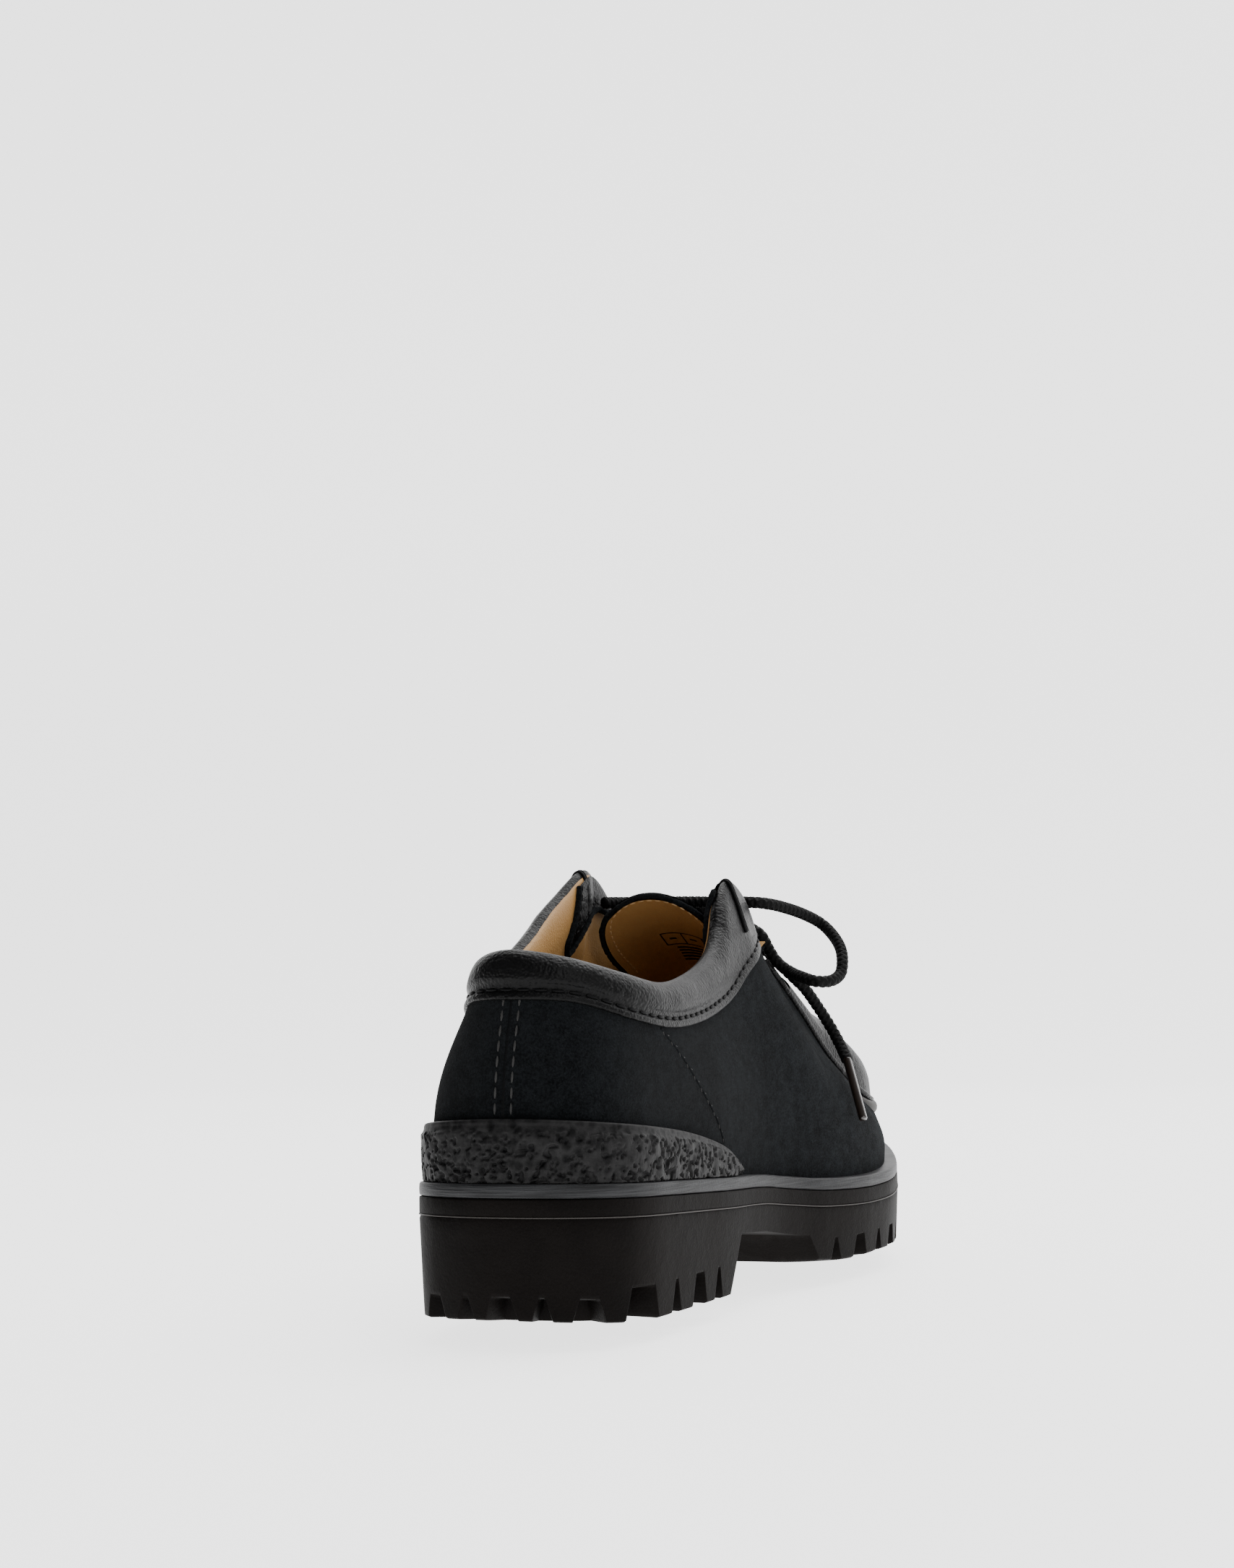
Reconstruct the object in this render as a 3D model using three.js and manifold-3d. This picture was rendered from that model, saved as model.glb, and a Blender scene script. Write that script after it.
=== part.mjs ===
// Low lace-up shoe with a moccasin toe, a padded collar and a lugged sole, for the right foot.
// Millimetres. +Y points to the toe, +X to the outer side of the foot and +Z up from the floor.
// In the tables, "along" runs from the heel (0) to the toe (1) as a share of LENGTH.

import * as THREE from 'three';
import { mergeVertices } from 'three/addons/utils/BufferGeometryUtils.js';
import Module from 'manifold-3d';

const wasm = await Module();
wasm.setup();

// Sole
const LENGTH = 303;
const BALL_WIDTH = 113.4;
const HEEL_WIDTH = 77;
const HEEL_HEIGHT = 34.2; // floor to the midsole's top, at the heel
const BALL_HEIGHT = 23.6;
const TOE_HEIGHT = 34.9;
const MIDSOLE_THICKNESS = 5;
const WELT_THICKNESS = 3.9;
const WELT_WIDTH = 13;
const WALL_DRAFT = 1.2; // how far the outsole's wall leans in at the floor
const HEEL_LENGTH = 79;
const BREAST_SLOPE = 9;
const ARCH_HEIGHT = 17; // clear height behind the breast
const ARCH_FALL = 6;
const FOREFOOT_START = 141;
const LUG_SLOPE = 7;
const HEEL_BEVEL = 2.2;
const HEEL_BEVEL_LENGTH = 30;
const TOE_SPRING = 14;
const SPRING_START = 212;
const SHANK_LIFT = 3;
const SHANK_LIFT_END = 172;
const EDGE_LIFT = 2;
const HEEL_TREAD = 6;
const FOREFOOT_TREAD = 7;
const HEEL_BOX_TREAD = 9;
const SLOT_REACH = 11;
const NARROW_SLOT = 3;
const WIDE_SLOT = 7;
const BOX_SLOT = 12;
const SLOT_FLARE = 1.4;
const GROOVE_WIDTH = 6; // across the middle of the tread
const GROOVE_FLARE = 1;
const CUTTER_REACH = 5; // how far a cutter starts below the floor

// Upper
const UPPER_RISE = 87; // welt to the top of the outer eyestay
const UPPER_WIDTH = 60; // across the topline at the ankle
const UPPER_WALL = 2.2;
const WELT_LEDGE = 4.4; // width of welt that shows outside the upper
const WALL_BULGE = 0.6;
const WALL_CURVE = 2;
const COLLAR_THICKNESS = 7;
const COLLAR_SEAT = 0.8;
const RAND_HEIGHT = 17.5;
const RAND_THICKNESS = 3.1; // from the upper's face
const RAND_SEAT = 0.7;
const ROLL_HEIGHT = 17.5;
const ROLL_RADIUS = 7;
const APRON_SEAT = 0.6;
const APRON_THICKNESS = 2.6;
const APRON_START = 185;
const APRON_MARGIN = 0.6; // seam to the apron's edge
const INSOLE_THICKNESS = 4;
const INSOLE_DRAFT = 1.6;

// Tongue and lace
const TAB_EDGE = 14; // middle of the shoe to a tab's free edge
const TAB_START = 10.2; // table rows between which a tab stands
const TAB_END = 12.7;
const OUTER_TIP = 8; // table rows of the outer eyestay's top and of the collar's two ends
const OUTER_COLLAR_END = 10;
const INNER_COLLAR_END = -11;
const TONGUE_WIDTH = 45;
const TONGUE_DROP = 10;
const TONGUE_THICKNESS = 2.6;
const LACE_DIAMETER = 3.8;
const AGLET_DIAMETER = 3;
const EYELET_DIAMETER = 5.6;
const EYELET_OUT = 19; // middle of the shoe to an eyelet
const EYELET_DEPTH = 30;
const LOWER_EYELETS = 0.568 * LENGTH; // heel to the eyelets, along the shoe
const UPPER_EYELETS = 0.535 * LENGTH;
const KNOT_DIAMETER = 7.8;
const FIT_GAP = 0.3;

const COARSE_STEP = 0.75; // in rows of the upper's tables
const FINE_STEP = 0.4;
const SOLE_STEPS = 34;
const TAB_STEPS = 3;
const RAND_STEPS = 32;
const COLLAR_STEPS = 48;
const APRON_STEPS = 14;

// Outline of the sole. "outer" and "inner" are half-widths as shares of the width there.
const OUTLINE_ROWS = [
  { along: 0, outer: 0, inner: 0 },
  { along: 0.01, outer: 0.201, inner: 0.195 },
  { along: 0.026, outer: 0.318, inner: 0.312 },
  { along: 0.053, outer: 0.408, inner: 0.403 },
  { along: 0.086, outer: 0.455, inner: 0.445 },
  { along: 0.135, outer: 0.481, inner: 0.471 },
  { along: 0.2, outer: 0.506, inner: 0.487 },
  { along: 0.267, outer: 0.526, inner: 0.481 },
  { along: 0.333, outer: 0.52, inner: 0.46 },
  { along: 0.4, outer: 0.484, inner: 0.42 },
  { along: 0.449, outer: 0.474, inner: 0.405 },
  { along: 0.498, outer: 0.481, inner: 0.405 },
  { along: 0.548, outer: 0.489, inner: 0.421 },
  { along: 0.597, outer: 0.501, inner: 0.445 },
  { along: 0.663, outer: 0.513, inner: 0.476 },
  { along: 0.729, outer: 0.49, inner: 0.487 },
  { along: 0.795, outer: 0.445, inner: 0.472 },
  { along: 0.851, outer: 0.393, inner: 0.437 },
  { along: 0.9, outer: 0.329, inner: 0.379 },
  { along: 0.943, outer: 0.247, inner: 0.3 },
  { along: 0.973, outer: 0.163, inner: 0.22 },
  { along: 0.991, outer: 0.075, inner: 0.128 },
  { along: 1, outer: -0.026, inner: 0.026 },
];

// Height of the midsole's top. "heel" and "toe" are shares of what each end stands above the ball.
const PROFILE_ROWS = [
  { along: 0, heel: 1, toe: 0 },
  { along: 0.135, heel: 0.82, toe: 0 },
  { along: 0.267, heel: 0.63, toe: 0 },
  { along: 0.366, heel: 0.49, toe: 0 },
  { along: 0.432, heel: 0.29, toe: 0 },
  { along: 0.498, heel: 0.1, toe: 0 },
  { along: 0.597, heel: 0, toe: 0 },
  { along: 0.696, heel: 0, toe: 0.07 },
  { along: 0.795, heel: 0, toe: 0.22 },
  { along: 0.894, heel: 0, toe: 0.53 },
  { along: 1, heel: 0, toe: 1 },
];

// The upper, from the heel round each side to the toe. "foot" is where the wall stands on the
// welt, "along", "out" and "rise" place its top edge, and "band" is the collar's depth there.
// "out" is a share of UPPER_WIDTH, "rise" and "band" are shares of UPPER_RISE.
const OUTER_ROWS = [
  { foot: 0, along: 0.046, out: 0, rise: 0.726, band: 0.158 },
  { foot: 0.03, along: 0.062, out: 0.242, rise: 0.698, band: 0.144 },
  { foot: 0.1, along: 0.109, out: 0.428, rise: 0.648, band: 0.15 },
  { foot: 0.182, along: 0.178, out: 0.495, rise: 0.617, band: 0.149 },
  { foot: 0.27, along: 0.261, out: 0.492, rise: 0.653, band: 0.167 },
  { foot: 0.345, along: 0.337, out: 0.472, rise: 0.722, band: 0.19 },
  { foot: 0.4, along: 0.377, out: 0.452, rise: 0.812, band: 0.23 },
  { foot: 0.445, along: 0.408, out: 0.42, rise: 0.938, band: 0.29 },
  { foot: 0.482, along: 0.446, out: 0.403, rise: 1.006, band: 0.302 },
  { foot: 0.512, along: 0.491, out: 0.417, rise: 0.94, band: 0.19 },
  { foot: 0.534, along: 0.512, out: 0.433, rise: 0.83, band: 0.07 },
  { foot: 0.555, along: 0.53, out: 0.442, rise: 0.722, band: 0 },
  { foot: 0.597, along: 0.577, out: 0.466, rise: 0.628, band: 0 },
  { foot: 0.645, along: 0.637, out: 0.505, rise: 0.498, band: 0 },
  { foot: 0.694, along: 0.701, out: 0.552, rise: 0.343, band: 0 },
  { foot: 0.745, along: 0.762, out: 0.615, rise: 0.212, band: 0 },
  { foot: 0.805, along: 0.818, out: 0.65, rise: 0.135, band: 0 },
  { foot: 0.865, along: 0.871, out: 0.59, rise: 0.118, band: 0 },
  { foot: 0.93, along: 0.918, out: 0.4, rise: 0.121, band: 0 },
  { foot: 0.98, along: 0.943, out: 0.155, rise: 0.13, band: 0 },
];
const INNER_ROWS = [
  { foot: 0.03, along: 0.06, out: 0.19, rise: 0.716, band: 0.155 },
  { foot: 0.1, along: 0.109, out: 0.312, rise: 0.684, band: 0.168 },
  { foot: 0.182, along: 0.178, out: 0.42, rise: 0.678, band: 0.172 },
  { foot: 0.25, along: 0.24, out: 0.491, rise: 0.725, band: 0.18 },
  { foot: 0.31, along: 0.292, out: 0.49, rise: 0.809, band: 0.19 },
  { foot: 0.355, along: 0.332, out: 0.486, rise: 0.893, band: 0.2 },
  { foot: 0.4, along: 0.372, out: 0.473, rise: 0.968, band: 0.212 },
  { foot: 0.445, along: 0.408, out: 0.445, rise: 1.042, band: 0.25 },
  { foot: 0.482, along: 0.438, out: 0.418, rise: 1.055, band: 0.262 },
  { foot: 0.512, along: 0.485, out: 0.417, rise: 0.962, band: 0.16 },
  { foot: 0.534, along: 0.51, out: 0.433, rise: 0.86, band: 0.06 },
  { foot: 0.555, along: 0.53, out: 0.442, rise: 0.735, band: 0 },
  { foot: 0.597, along: 0.577, out: 0.466, rise: 0.638, band: 0 },
  { foot: 0.645, along: 0.637, out: 0.505, rise: 0.503, band: 0 },
  { foot: 0.694, along: 0.701, out: 0.552, rise: 0.35, band: 0 },
  { foot: 0.745, along: 0.762, out: 0.62, rise: 0.22, band: 0 },
  { foot: 0.805, along: 0.818, out: 0.675, rise: 0.14, band: 0 },
  { foot: 0.865, along: 0.871, out: 0.655, rise: 0.121, band: 0 },
  { foot: 0.93, along: 0.918, out: 0.48, rise: 0.121, band: 0 },
  { foot: 0.98, along: 0.943, out: 0.245, rise: 0.13, band: 0 },
];
const TOE_ROW = { foot: 1, along: 0.948, out: -0.045, rise: 0.135, band: 0 };

// Centre line of the tongue, from its root under the apron to its free top.
const TONGUE_ROWS = [
  { at: 0, along: 0.67, rise: 0.514, width: 0.84 },
  { at: 0.2, along: 0.6, rise: 0.638, width: 0.9 },
  { at: 0.45, along: 0.53, rise: 0.77, width: 0.96 },
  { at: 0.7, along: 0.465, rise: 0.872, width: 0.98 },
  { at: 0.88, along: 0.425, rise: 0.94, width: 0.82 },
  { at: 0.97, along: 0.413, rise: 0.958, width: 0.44 },
  { at: 1, along: 0.41, rise: 0.962, width: 0.16 },
];

// Height of the apron over its seam, as shares of ROLL_HEIGHT: at the roll's shoulder and at
// the middle.
const APRON_ROWS = [
  { along: 0.6, shoulder: 0.26, middle: 0.36 },
  { along: 0.677, shoulder: 0.5, middle: 0.66 },
  { along: 0.759, shoulder: 0.85, middle: 1.05 },
  { along: 0.825, shoulder: 0.84, middle: 1.0 },
  { along: 0.884, shoulder: 0.6, middle: 0.7 },
  { along: 0.948, shoulder: 0.36, middle: 0.4 },
];

// Height of the crepe rand above the welt, as a share of RAND_HEIGHT.
const RAND_ROWS = [
  { along: 0, height: 1 },
  { along: 0.053, height: 0.91 },
  { along: 0.17, height: 0.76 },
  { along: 0.25, height: 0.55 },
  { along: 0.29, height: 0.33 },
  { along: 0.311, height: 0.08 },
];

// Routes of the free lace, as points of x, y and z. The knot sits on the upper crossing.
const KNOT_FROM = [4.5, 166, 112.2];
const KNOT_TO = [13.5, 166.5, 112];
const OUTER_LOOP = [
  [17.9, 167, 112], [21, 167.8, 110.6], [24, 168.8, 108.2], [26, 170.8, 103.4], [28.8, 171, 99],
  [34, 169.3, 95.6], [40, 161.4, 93.8], [46, 157.6, 92.2], [50, 161, 92.3], [51.5, 167.6, 94.6],
  [51.3, 171.6, 98.7], [49.3, 177.1, 103.4], [45.3, 182.2, 108.2], [40.5, 184.6, 112.4],
  [36, 177.7, 115.6], [31.5, 167.1, 117.8], [28, 161, 118.7], [24.5, 159.5, 119.1],
  [18, 160.5, 119.5], [12, 161.7, 119.7], [5, 160.5, 120], [-2, 157, 120.1],
  [-9, 151.5, 120], [-15, 144, 119.8], [-18.2, 139, 119.7], [-20, 135.4, 119.6],
];
const INNER_LOOP = [
  [14, 174.5, 112.2], [8, 173.6, 115.9], [2, 169, 117.9], [-6, 166.5, 118.2], [-14, 165.5, 117.3],
  [-22, 166, 114.5], [-29, 167.5, 109.5], [-34, 170, 104], [-38, 173, 99.5], [-43, 172, 96.8],
  [-48, 166, 96.2], [-49, 159, 98.5], [-45, 155, 101.8], [-39, 156, 104.8], [-32, 159, 107.6],
  [-24, 161, 110.2], [-16, 162.5, 111.8], [-8, 164.5, 112.3], [-0.2, 166, 112.3],
];
const OUTER_END = [
  [14.9, 171, 109.3], [19.5, 173.8, 106.7], [23.5, 176.5, 103], [27.8, 179, 98],
  [32, 180.3, 93.6], [35, 182.9, 89.8], [38, 187.5, 83.6], [41.5, 190.4, 76.7],
  [45, 188.5, 71], [48.6, 183.9, 65.8],
];
const OUTER_TIP_END = [56, 174.8, 46.1];
const INNER_END = [
  [3.2, 170.7, 109.4], [-4, 173, 109.6], [-12, 175, 108.5], [-20, 176, 105.5],
  [-27, 177.5, 100.5], [-33, 180, 94], [-37, 183, 87], [-40.5, 185.5, 80], [-44, 186.5, 73.5],
  [-47, 186.5, 67],
];
const INNER_TIP_END = [-53.2, 186, 48];

// Side slots of the tread, as angles round the outline: 0 at the heel, pi at the toe.
const HEEL_SLOTS = [
  { turn: 0, width: WIDE_SLOT, height: HEEL_TREAD },
  { turn: 0.15, width: NARROW_SLOT, height: HEEL_TREAD },
  { turn: 0.31, width: WIDE_SLOT, height: HEEL_TREAD },
  { turn: 0.55, width: BOX_SLOT, height: HEEL_BOX_TREAD },
  { turn: 0.75, width: NARROW_SLOT, height: HEEL_BOX_TREAD },
  { turn: 0.89, width: WIDE_SLOT, height: HEEL_BOX_TREAD },
  { turn: 1.0, width: NARROW_SLOT, height: HEEL_BOX_TREAD },
];
const FOREFOOT_SLOT_TURN = 1.6;
const FOREFOOT_SLOT_STEP = 0.105;
const FOREFOOT_SLOT_COUNT = 14;

// Grooves across the middle of the tread: places along the sole and along the heel.
const FOREFOOT_GROOVES = [0.58, 0.66, 0.74, 0.82];
const HEEL_GROOVES = [0.38, 0.66];
const FOREFOOT_GROOVE_HALF = 0.22 * BALL_WIDTH;
const HEEL_GROOVE_HALF = 0.24 * HEEL_WIDTH;

const mix = (a, b, t) => a + (b - a) * t;
const clamp = (t) => Math.min(Math.max(t, 0), 1);
const smooth = (t) => clamp(t) * clamp(t) * (3 - 2 * clamp(t));

// Smooth curve through the rows of a table: cubic between rows, with slopes from the neighbours.
function tableValue(rows, key, at, column) {
  let i = 0;
  while (i < rows.length - 2 && rows[i + 1][key] < at) i += 1;
  const slope = (k) => {
    const a = rows[Math.max(k - 1, 0)];
    const b = rows[Math.min(k + 1, rows.length - 1)];
    return (b[column] - a[column]) / (b[key] - a[key]);
  };
  const from = rows[i];
  const to = rows[i + 1];
  const span = to[key] - from[key];
  const t = (at - from[key]) / span;
  const t2 = t * t;
  const t3 = t2 * t;
  return from[column] * (2 * t3 - 3 * t2 + 1) + to[column] * (3 * t2 - 2 * t3)
    + slope(i) * span * (t3 - 2 * t2 + t) + slope(i + 1) * span * (t3 - t2);
}

const soleWidth = (along) => mix(HEEL_WIDTH, BALL_WIDTH, smooth((along - 0.3) / 0.3));
const turnOf = (along) => Math.acos(1 - 2 * clamp(along));

// The outline is one closed curve of the turn: 0 at the heel, pi at the toe, 2 pi at the heel.
const outlineRing = OUTLINE_ROWS.map((row) => (
  { turn: turnOf(row.along), x: row.outer * soleWidth(row.along) }
)).concat(OUTLINE_ROWS.slice(0, -1).reverse().map((row) => (
  { turn: 2 * Math.PI - turnOf(row.along), x: -row.inner * soleWidth(row.along) }
)));
const closedOutline = [
  ...outlineRing.slice(-4, -1).map((row) => ({ turn: row.turn - 2 * Math.PI, x: row.x })),
  ...outlineRing,
  ...outlineRing.slice(1, 4).map((row) => ({ turn: row.turn + 2 * Math.PI, x: row.x })),
];
const outlineX = (turn) => tableValue(closedOutline, 'turn', turn, 'x');
const outlineY = (turn) => LENGTH * (1 - Math.cos(turn)) / 2;

// Point on the outline moved inwards by an inset, and the inward direction there.
function outlineInward(turn) {
  const step = 0.01;
  const dx = outlineX(turn + step) - outlineX(turn - step);
  const dy = outlineY(turn + step) - outlineY(turn - step);
  return new THREE.Vector2(-dy, dx).normalize();
}
function outlinePoint(turn, inset) {
  const inward = outlineInward(turn);
  return new THREE.Vector2(outlineX(turn), outlineY(turn)).addScaledVector(inward, inset);
}

function midsoleTop(y) {
  const along = clamp(y / LENGTH);
  const heel = tableValue(PROFILE_ROWS, 'along', along, 'heel');
  const toe = tableValue(PROFILE_ROWS, 'along', along, 'toe');
  return BALL_HEIGHT + heel * (HEEL_HEIGHT - BALL_HEIGHT) + toe * (TOE_HEIGHT - BALL_HEIGHT);
}
const weltTop = (y) => midsoleTop(y) + WELT_THICKNESS;

// Walking surface: flat under the heel and the ball, lifted at the heel's back, the shank, the
// toe and, in front of the arch, towards the sides.
function treadBottom(x, y) {
  const bevel = HEEL_BEVEL * Math.max(1 - y / HEEL_BEVEL_LENGTH, 0) ** 2;
  const spring = TOE_SPRING * (Math.max(y - SPRING_START, 0) / (LENGTH - SPRING_START)) ** 1.8;
  if (y < HEEL_LENGTH + BREAST_SLOPE) return bevel;
  const shank = SHANK_LIFT * (Math.max(SHANK_LIFT_END - y, 0) / (SHANK_LIFT_END - FOREFOOT_START)) ** 2;
  const edge = EDGE_LIFT * clamp((Math.abs(x) - 0.25 * BALL_WIDTH) / (0.25 * BALL_WIDTH)) ** 2;
  return spring + Math.min(shank, SHANK_LIFT) + edge;
}

// Solid from patches, each a grid of points: shared edges are welded, faces turned outwards.
function solidFromPatches(patches) {
  const keys = new Map();
  const points = [];
  const faces = [];
  const indexOf = (point) => {
    const key = `${Math.round(point.x * 2e3)},${Math.round(point.y * 2e3)},${Math.round(point.z * 2e3)}`;
    if (!keys.has(key)) {
      keys.set(key, points.length / 3);
      points.push(point.x, point.y, point.z);
    }
    return keys.get(key);
  };
  const addFace = (a, b, c) => {
    if (a !== b && b !== c && c !== a) faces.push(a, b, c);
  };
  for (const { grid, flip } of patches) {
    for (let i = 0; i < grid.length - 1; i += 1) {
      for (let j = 0; j < grid[i].length - 1; j += 1) {
        const corners = [grid[i][j], grid[i + 1][j], grid[i + 1][j + 1], grid[i][j + 1]].map(indexOf);
        if (flip) corners.reverse();
        addFace(corners[0], corners[1], corners[2]);
        addFace(corners[0], corners[2], corners[3]);
      }
    }
  }
  const geometry = new THREE.BufferGeometry();
  geometry.setAttribute('position', new THREE.Float32BufferAttribute(points, 3));
  geometry.setIndex(faces);
  if (volumeOf(geometry) < 0) geometry.setIndex(faces.reverse());
  return geometry;
}

function volumeOf(geometry) {
  const position = geometry.getAttribute('position');
  const index = geometry.getIndex();
  const corner = (k) => new THREE.Vector3().fromBufferAttribute(position, index.getX(k));
  let sum = 0;
  for (let k = 0; k < index.count; k += 3) {
    sum += corner(k).dot(corner(k + 1).cross(corner(k + 2))) / 6;
  }
  return sum;
}

// Cuts with the solids library.
function toManifold(geometry) {
  const bare = geometry.clone();
  bare.deleteAttribute('normal');
  bare.deleteAttribute('uv');
  const merged = mergeVertices(bare, 1e-4);
  const mesh = new wasm.Mesh({
    numProp: 3,
    vertProperties: new Float32Array(merged.getAttribute('position').array),
    triVerts: new Uint32Array(merged.getIndex().array),
  });
  return new wasm.Manifold(mesh);
}
function fromManifold(manifold) {
  const mesh = manifold.getMesh();
  const geometry = new THREE.BufferGeometry();
  geometry.setAttribute('position', new THREE.Float32BufferAttribute(mesh.vertProperties, 3));
  geometry.setIndex(Array.from(mesh.triVerts));
  return geometry;
}
function cut(body, tools) {
  let solid = toManifold(body);
  for (const tool of tools) solid = solid.subtract(toManifold(tool));
  return fromManifold(solid);
}

const vector = (x, y, z) => new THREE.Vector3(x, y, z);
const range = (count) => Array.from({ length: count + 1 }, (_, k) => k / count);

// Layers of the sole, from the lowest sheet to the highest. Each level has an inset from the
// outline and a height function.
function soleStack(levels, across = 4) {
  const sheets = levels.map(({ inset, height }) => range(SOLE_STEPS).map((i) => {
    const outer = outlinePoint(Math.PI * i, inset);
    const inner = outlinePoint(2 * Math.PI - Math.PI * i, inset);
    return range(across).map((j) => {
      const point = inner.clone().lerp(outer, j);
      return vector(point.x, point.y, height(point.x, point.y));
    });
  }));
  const wall = (j) => sheets[0].map((row, i) => sheets.map((sheet) => sheet[i][j]));
  return solidFromPatches([
    { grid: sheets[0], flip: true },
    { grid: sheets[sheets.length - 1], flip: false },
    { grid: wall(0), flip: false },
    { grid: wall(across), flip: true },
  ]);
}

// Ring round the outline from a closed profile of inset and height functions.
function soleRing(profile) {
  const loop = range(2 * SOLE_STEPS).map((k) => profile.concat(profile[0]).map(({ inset, height }) => {
    const point = outlinePoint(2 * Math.PI * k, inset);
    return vector(point.x, point.y, height(point.y));
  }));
  loop[loop.length - 1] = loop[0];
  return solidFromPatches([{ grid: loop, flip: false }]);
}

// Prism of a side slot: wider at the floor, cut square to the outline.
function slotPrism({ turn, width, height }, reach) {
  const edge = outlinePoint(turn, 0);
  const inward = outlineInward(turn);
  const floor = treadBottom(edge.x, edge.y);
  const half = width / 2;
  const shape = new THREE.Shape([
    new THREE.Vector2(-half - SLOT_FLARE, floor - CUTTER_REACH),
    new THREE.Vector2(half + SLOT_FLARE, floor - CUTTER_REACH),
    new THREE.Vector2(half + SLOT_FLARE, floor),
    new THREE.Vector2(half - SLOT_FLARE / 2, floor + height),
    new THREE.Vector2(-half + SLOT_FLARE / 2, floor + height),
    new THREE.Vector2(-half - SLOT_FLARE, floor),
  ]);
  const geometry = new THREE.ExtrudeGeometry(shape, { depth: reach + 3, bevelEnabled: false });
  const start = edge.clone().addScaledVector(inward, -3);
  const frame = new THREE.Matrix4().makeBasis(
    vector(-inward.y, inward.x, 0),
    vector(0, 0, 1),
    vector(inward.x, inward.y, 0),
  );
  frame.setPosition(start.x, start.y, 0);
  return geometry.applyMatrix4(frame);
}

// Block across the whole sole from an outline in the plane of Y and Z.
function crossBlock(outline, from, to) {
  const shape = new THREE.Shape(outline.map(([y, z]) => new THREE.Vector2(y, z)));
  const geometry = new THREE.ExtrudeGeometry(shape, { depth: to - from, bevelEnabled: false });
  const frame = new THREE.Matrix4().makeBasis(vector(0, 1, 0), vector(0, 0, 1), vector(1, 0, 0));
  frame.setPosition(from, 0, 0);
  return geometry.applyMatrix4(frame);
}

// Groove across the middle of the tread, wider at the floor.
function grooveBlock(y, rise, depth, half) {
  const floor = GROOVE_WIDTH / 2;
  const roof = floor - GROOVE_FLARE;
  return crossBlock([
    [y - floor, rise - CUTTER_REACH],
    [y + floor, rise - CUTTER_REACH],
    [y + roof, rise + depth],
    [y - roof, rise + depth],
  ], -half, half);
}

function makeOutsole() {
  const top = (x, y) => midsoleTop(y) - MIDSOLE_THICKNESS - FIT_GAP;
  const body = soleStack([{ inset: WALL_DRAFT, height: treadBottom }, { inset: 0, height: top }]);
  const breastTop = HEEL_LENGTH + BREAST_SLOPE;
  const archEnd = ARCH_HEIGHT - ARCH_FALL;
  const arch = crossBlock([
    [HEEL_LENGTH, -CUTTER_REACH],
    [FOREFOOT_START + LUG_SLOPE, -CUTTER_REACH],
    [FOREFOOT_START + LUG_SLOPE, 0],
    [FOREFOOT_START, archEnd],
    [mix(breastTop, FOREFOOT_START, 0.45), mix(ARCH_HEIGHT, archEnd, 0.3)],
    [breastTop, ARCH_HEIGHT],
    [HEEL_LENGTH, 0],
  ], -BALL_WIDTH, BALL_WIDTH);
  const slots = [];
  for (const slot of HEEL_SLOTS) {
    slots.push(slotPrism(slot, SLOT_REACH));
    if (slot.turn > 0) slots.push(slotPrism({ ...slot, turn: 2 * Math.PI - slot.turn }, SLOT_REACH));
  }
  for (let k = 0; k < FOREFOOT_SLOT_COUNT; k += 1) {
    const turn = FOREFOOT_SLOT_TURN + k * FOREFOOT_SLOT_STEP;
    const width = k % 2 === 0 ? NARROW_SLOT : WIDE_SLOT;
    slots.push(slotPrism({ turn, width, height: FOREFOOT_TREAD }, SLOT_REACH));
    slots.push(slotPrism({ turn: 2 * Math.PI - turn, width, height: FOREFOOT_TREAD }, SLOT_REACH));
  }
  const grooves = FOREFOOT_GROOVES.map((along) => {
    const y = along * LENGTH;
    return grooveBlock(y, treadBottom(0, y), FOREFOOT_TREAD - 1, FOREFOOT_GROOVE_HALF);
  });
  const heelGrooves = HEEL_GROOVES.map((share) => (
    grooveBlock(share * HEEL_LENGTH, 0, HEEL_TREAD - 1, HEEL_GROOVE_HALF)
  ));
  return cut(body, [arch, ...slots, ...grooves, ...heelGrooves]);
}

function makeMidsole() {
  const bottom = (x, y) => midsoleTop(y) - MIDSOLE_THICKNESS;
  const top = (x, y) => midsoleTop(y);
  return soleStack([{ inset: 0, height: bottom }, { inset: 0, height: top }], 2);
}

function makeWelt() {
  const low = (y) => midsoleTop(y) + FIT_GAP;
  return soleRing([
    { inset: 0, height: low },
    { inset: 0, height: weltTop },
    { inset: WELT_WIDTH, height: weltTop },
    { inset: WELT_WIDTH, height: low },
  ]);
}

// The upper's rows as one closed ring, each value a smooth function of the row number.
const ringRows = [
  ...OUTER_ROWS.map((row) => ({ ...row, turn: turnOf(row.foot), out: row.out })),
  { ...TOE_ROW, turn: Math.PI },
  ...INNER_ROWS.slice().reverse().map((row) => (
    { ...row, turn: 2 * Math.PI - turnOf(row.foot), out: -row.out }
  )),
];
const RING = ringRows.length;
const TOE_INDEX = OUTER_ROWS.length;
const ringTable = [];
for (let k = -3; k <= RING + 3; k += 1) {
  const lap = Math.floor(k / RING);
  const row = ringRows[k - lap * RING];
  ringTable.push({ ...row, k, turn: row.turn + lap * 2 * Math.PI });
}
const ringValue = (k, column) => tableValue(ringTable, 'k', k - Math.floor(k / RING) * RING, column);

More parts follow.
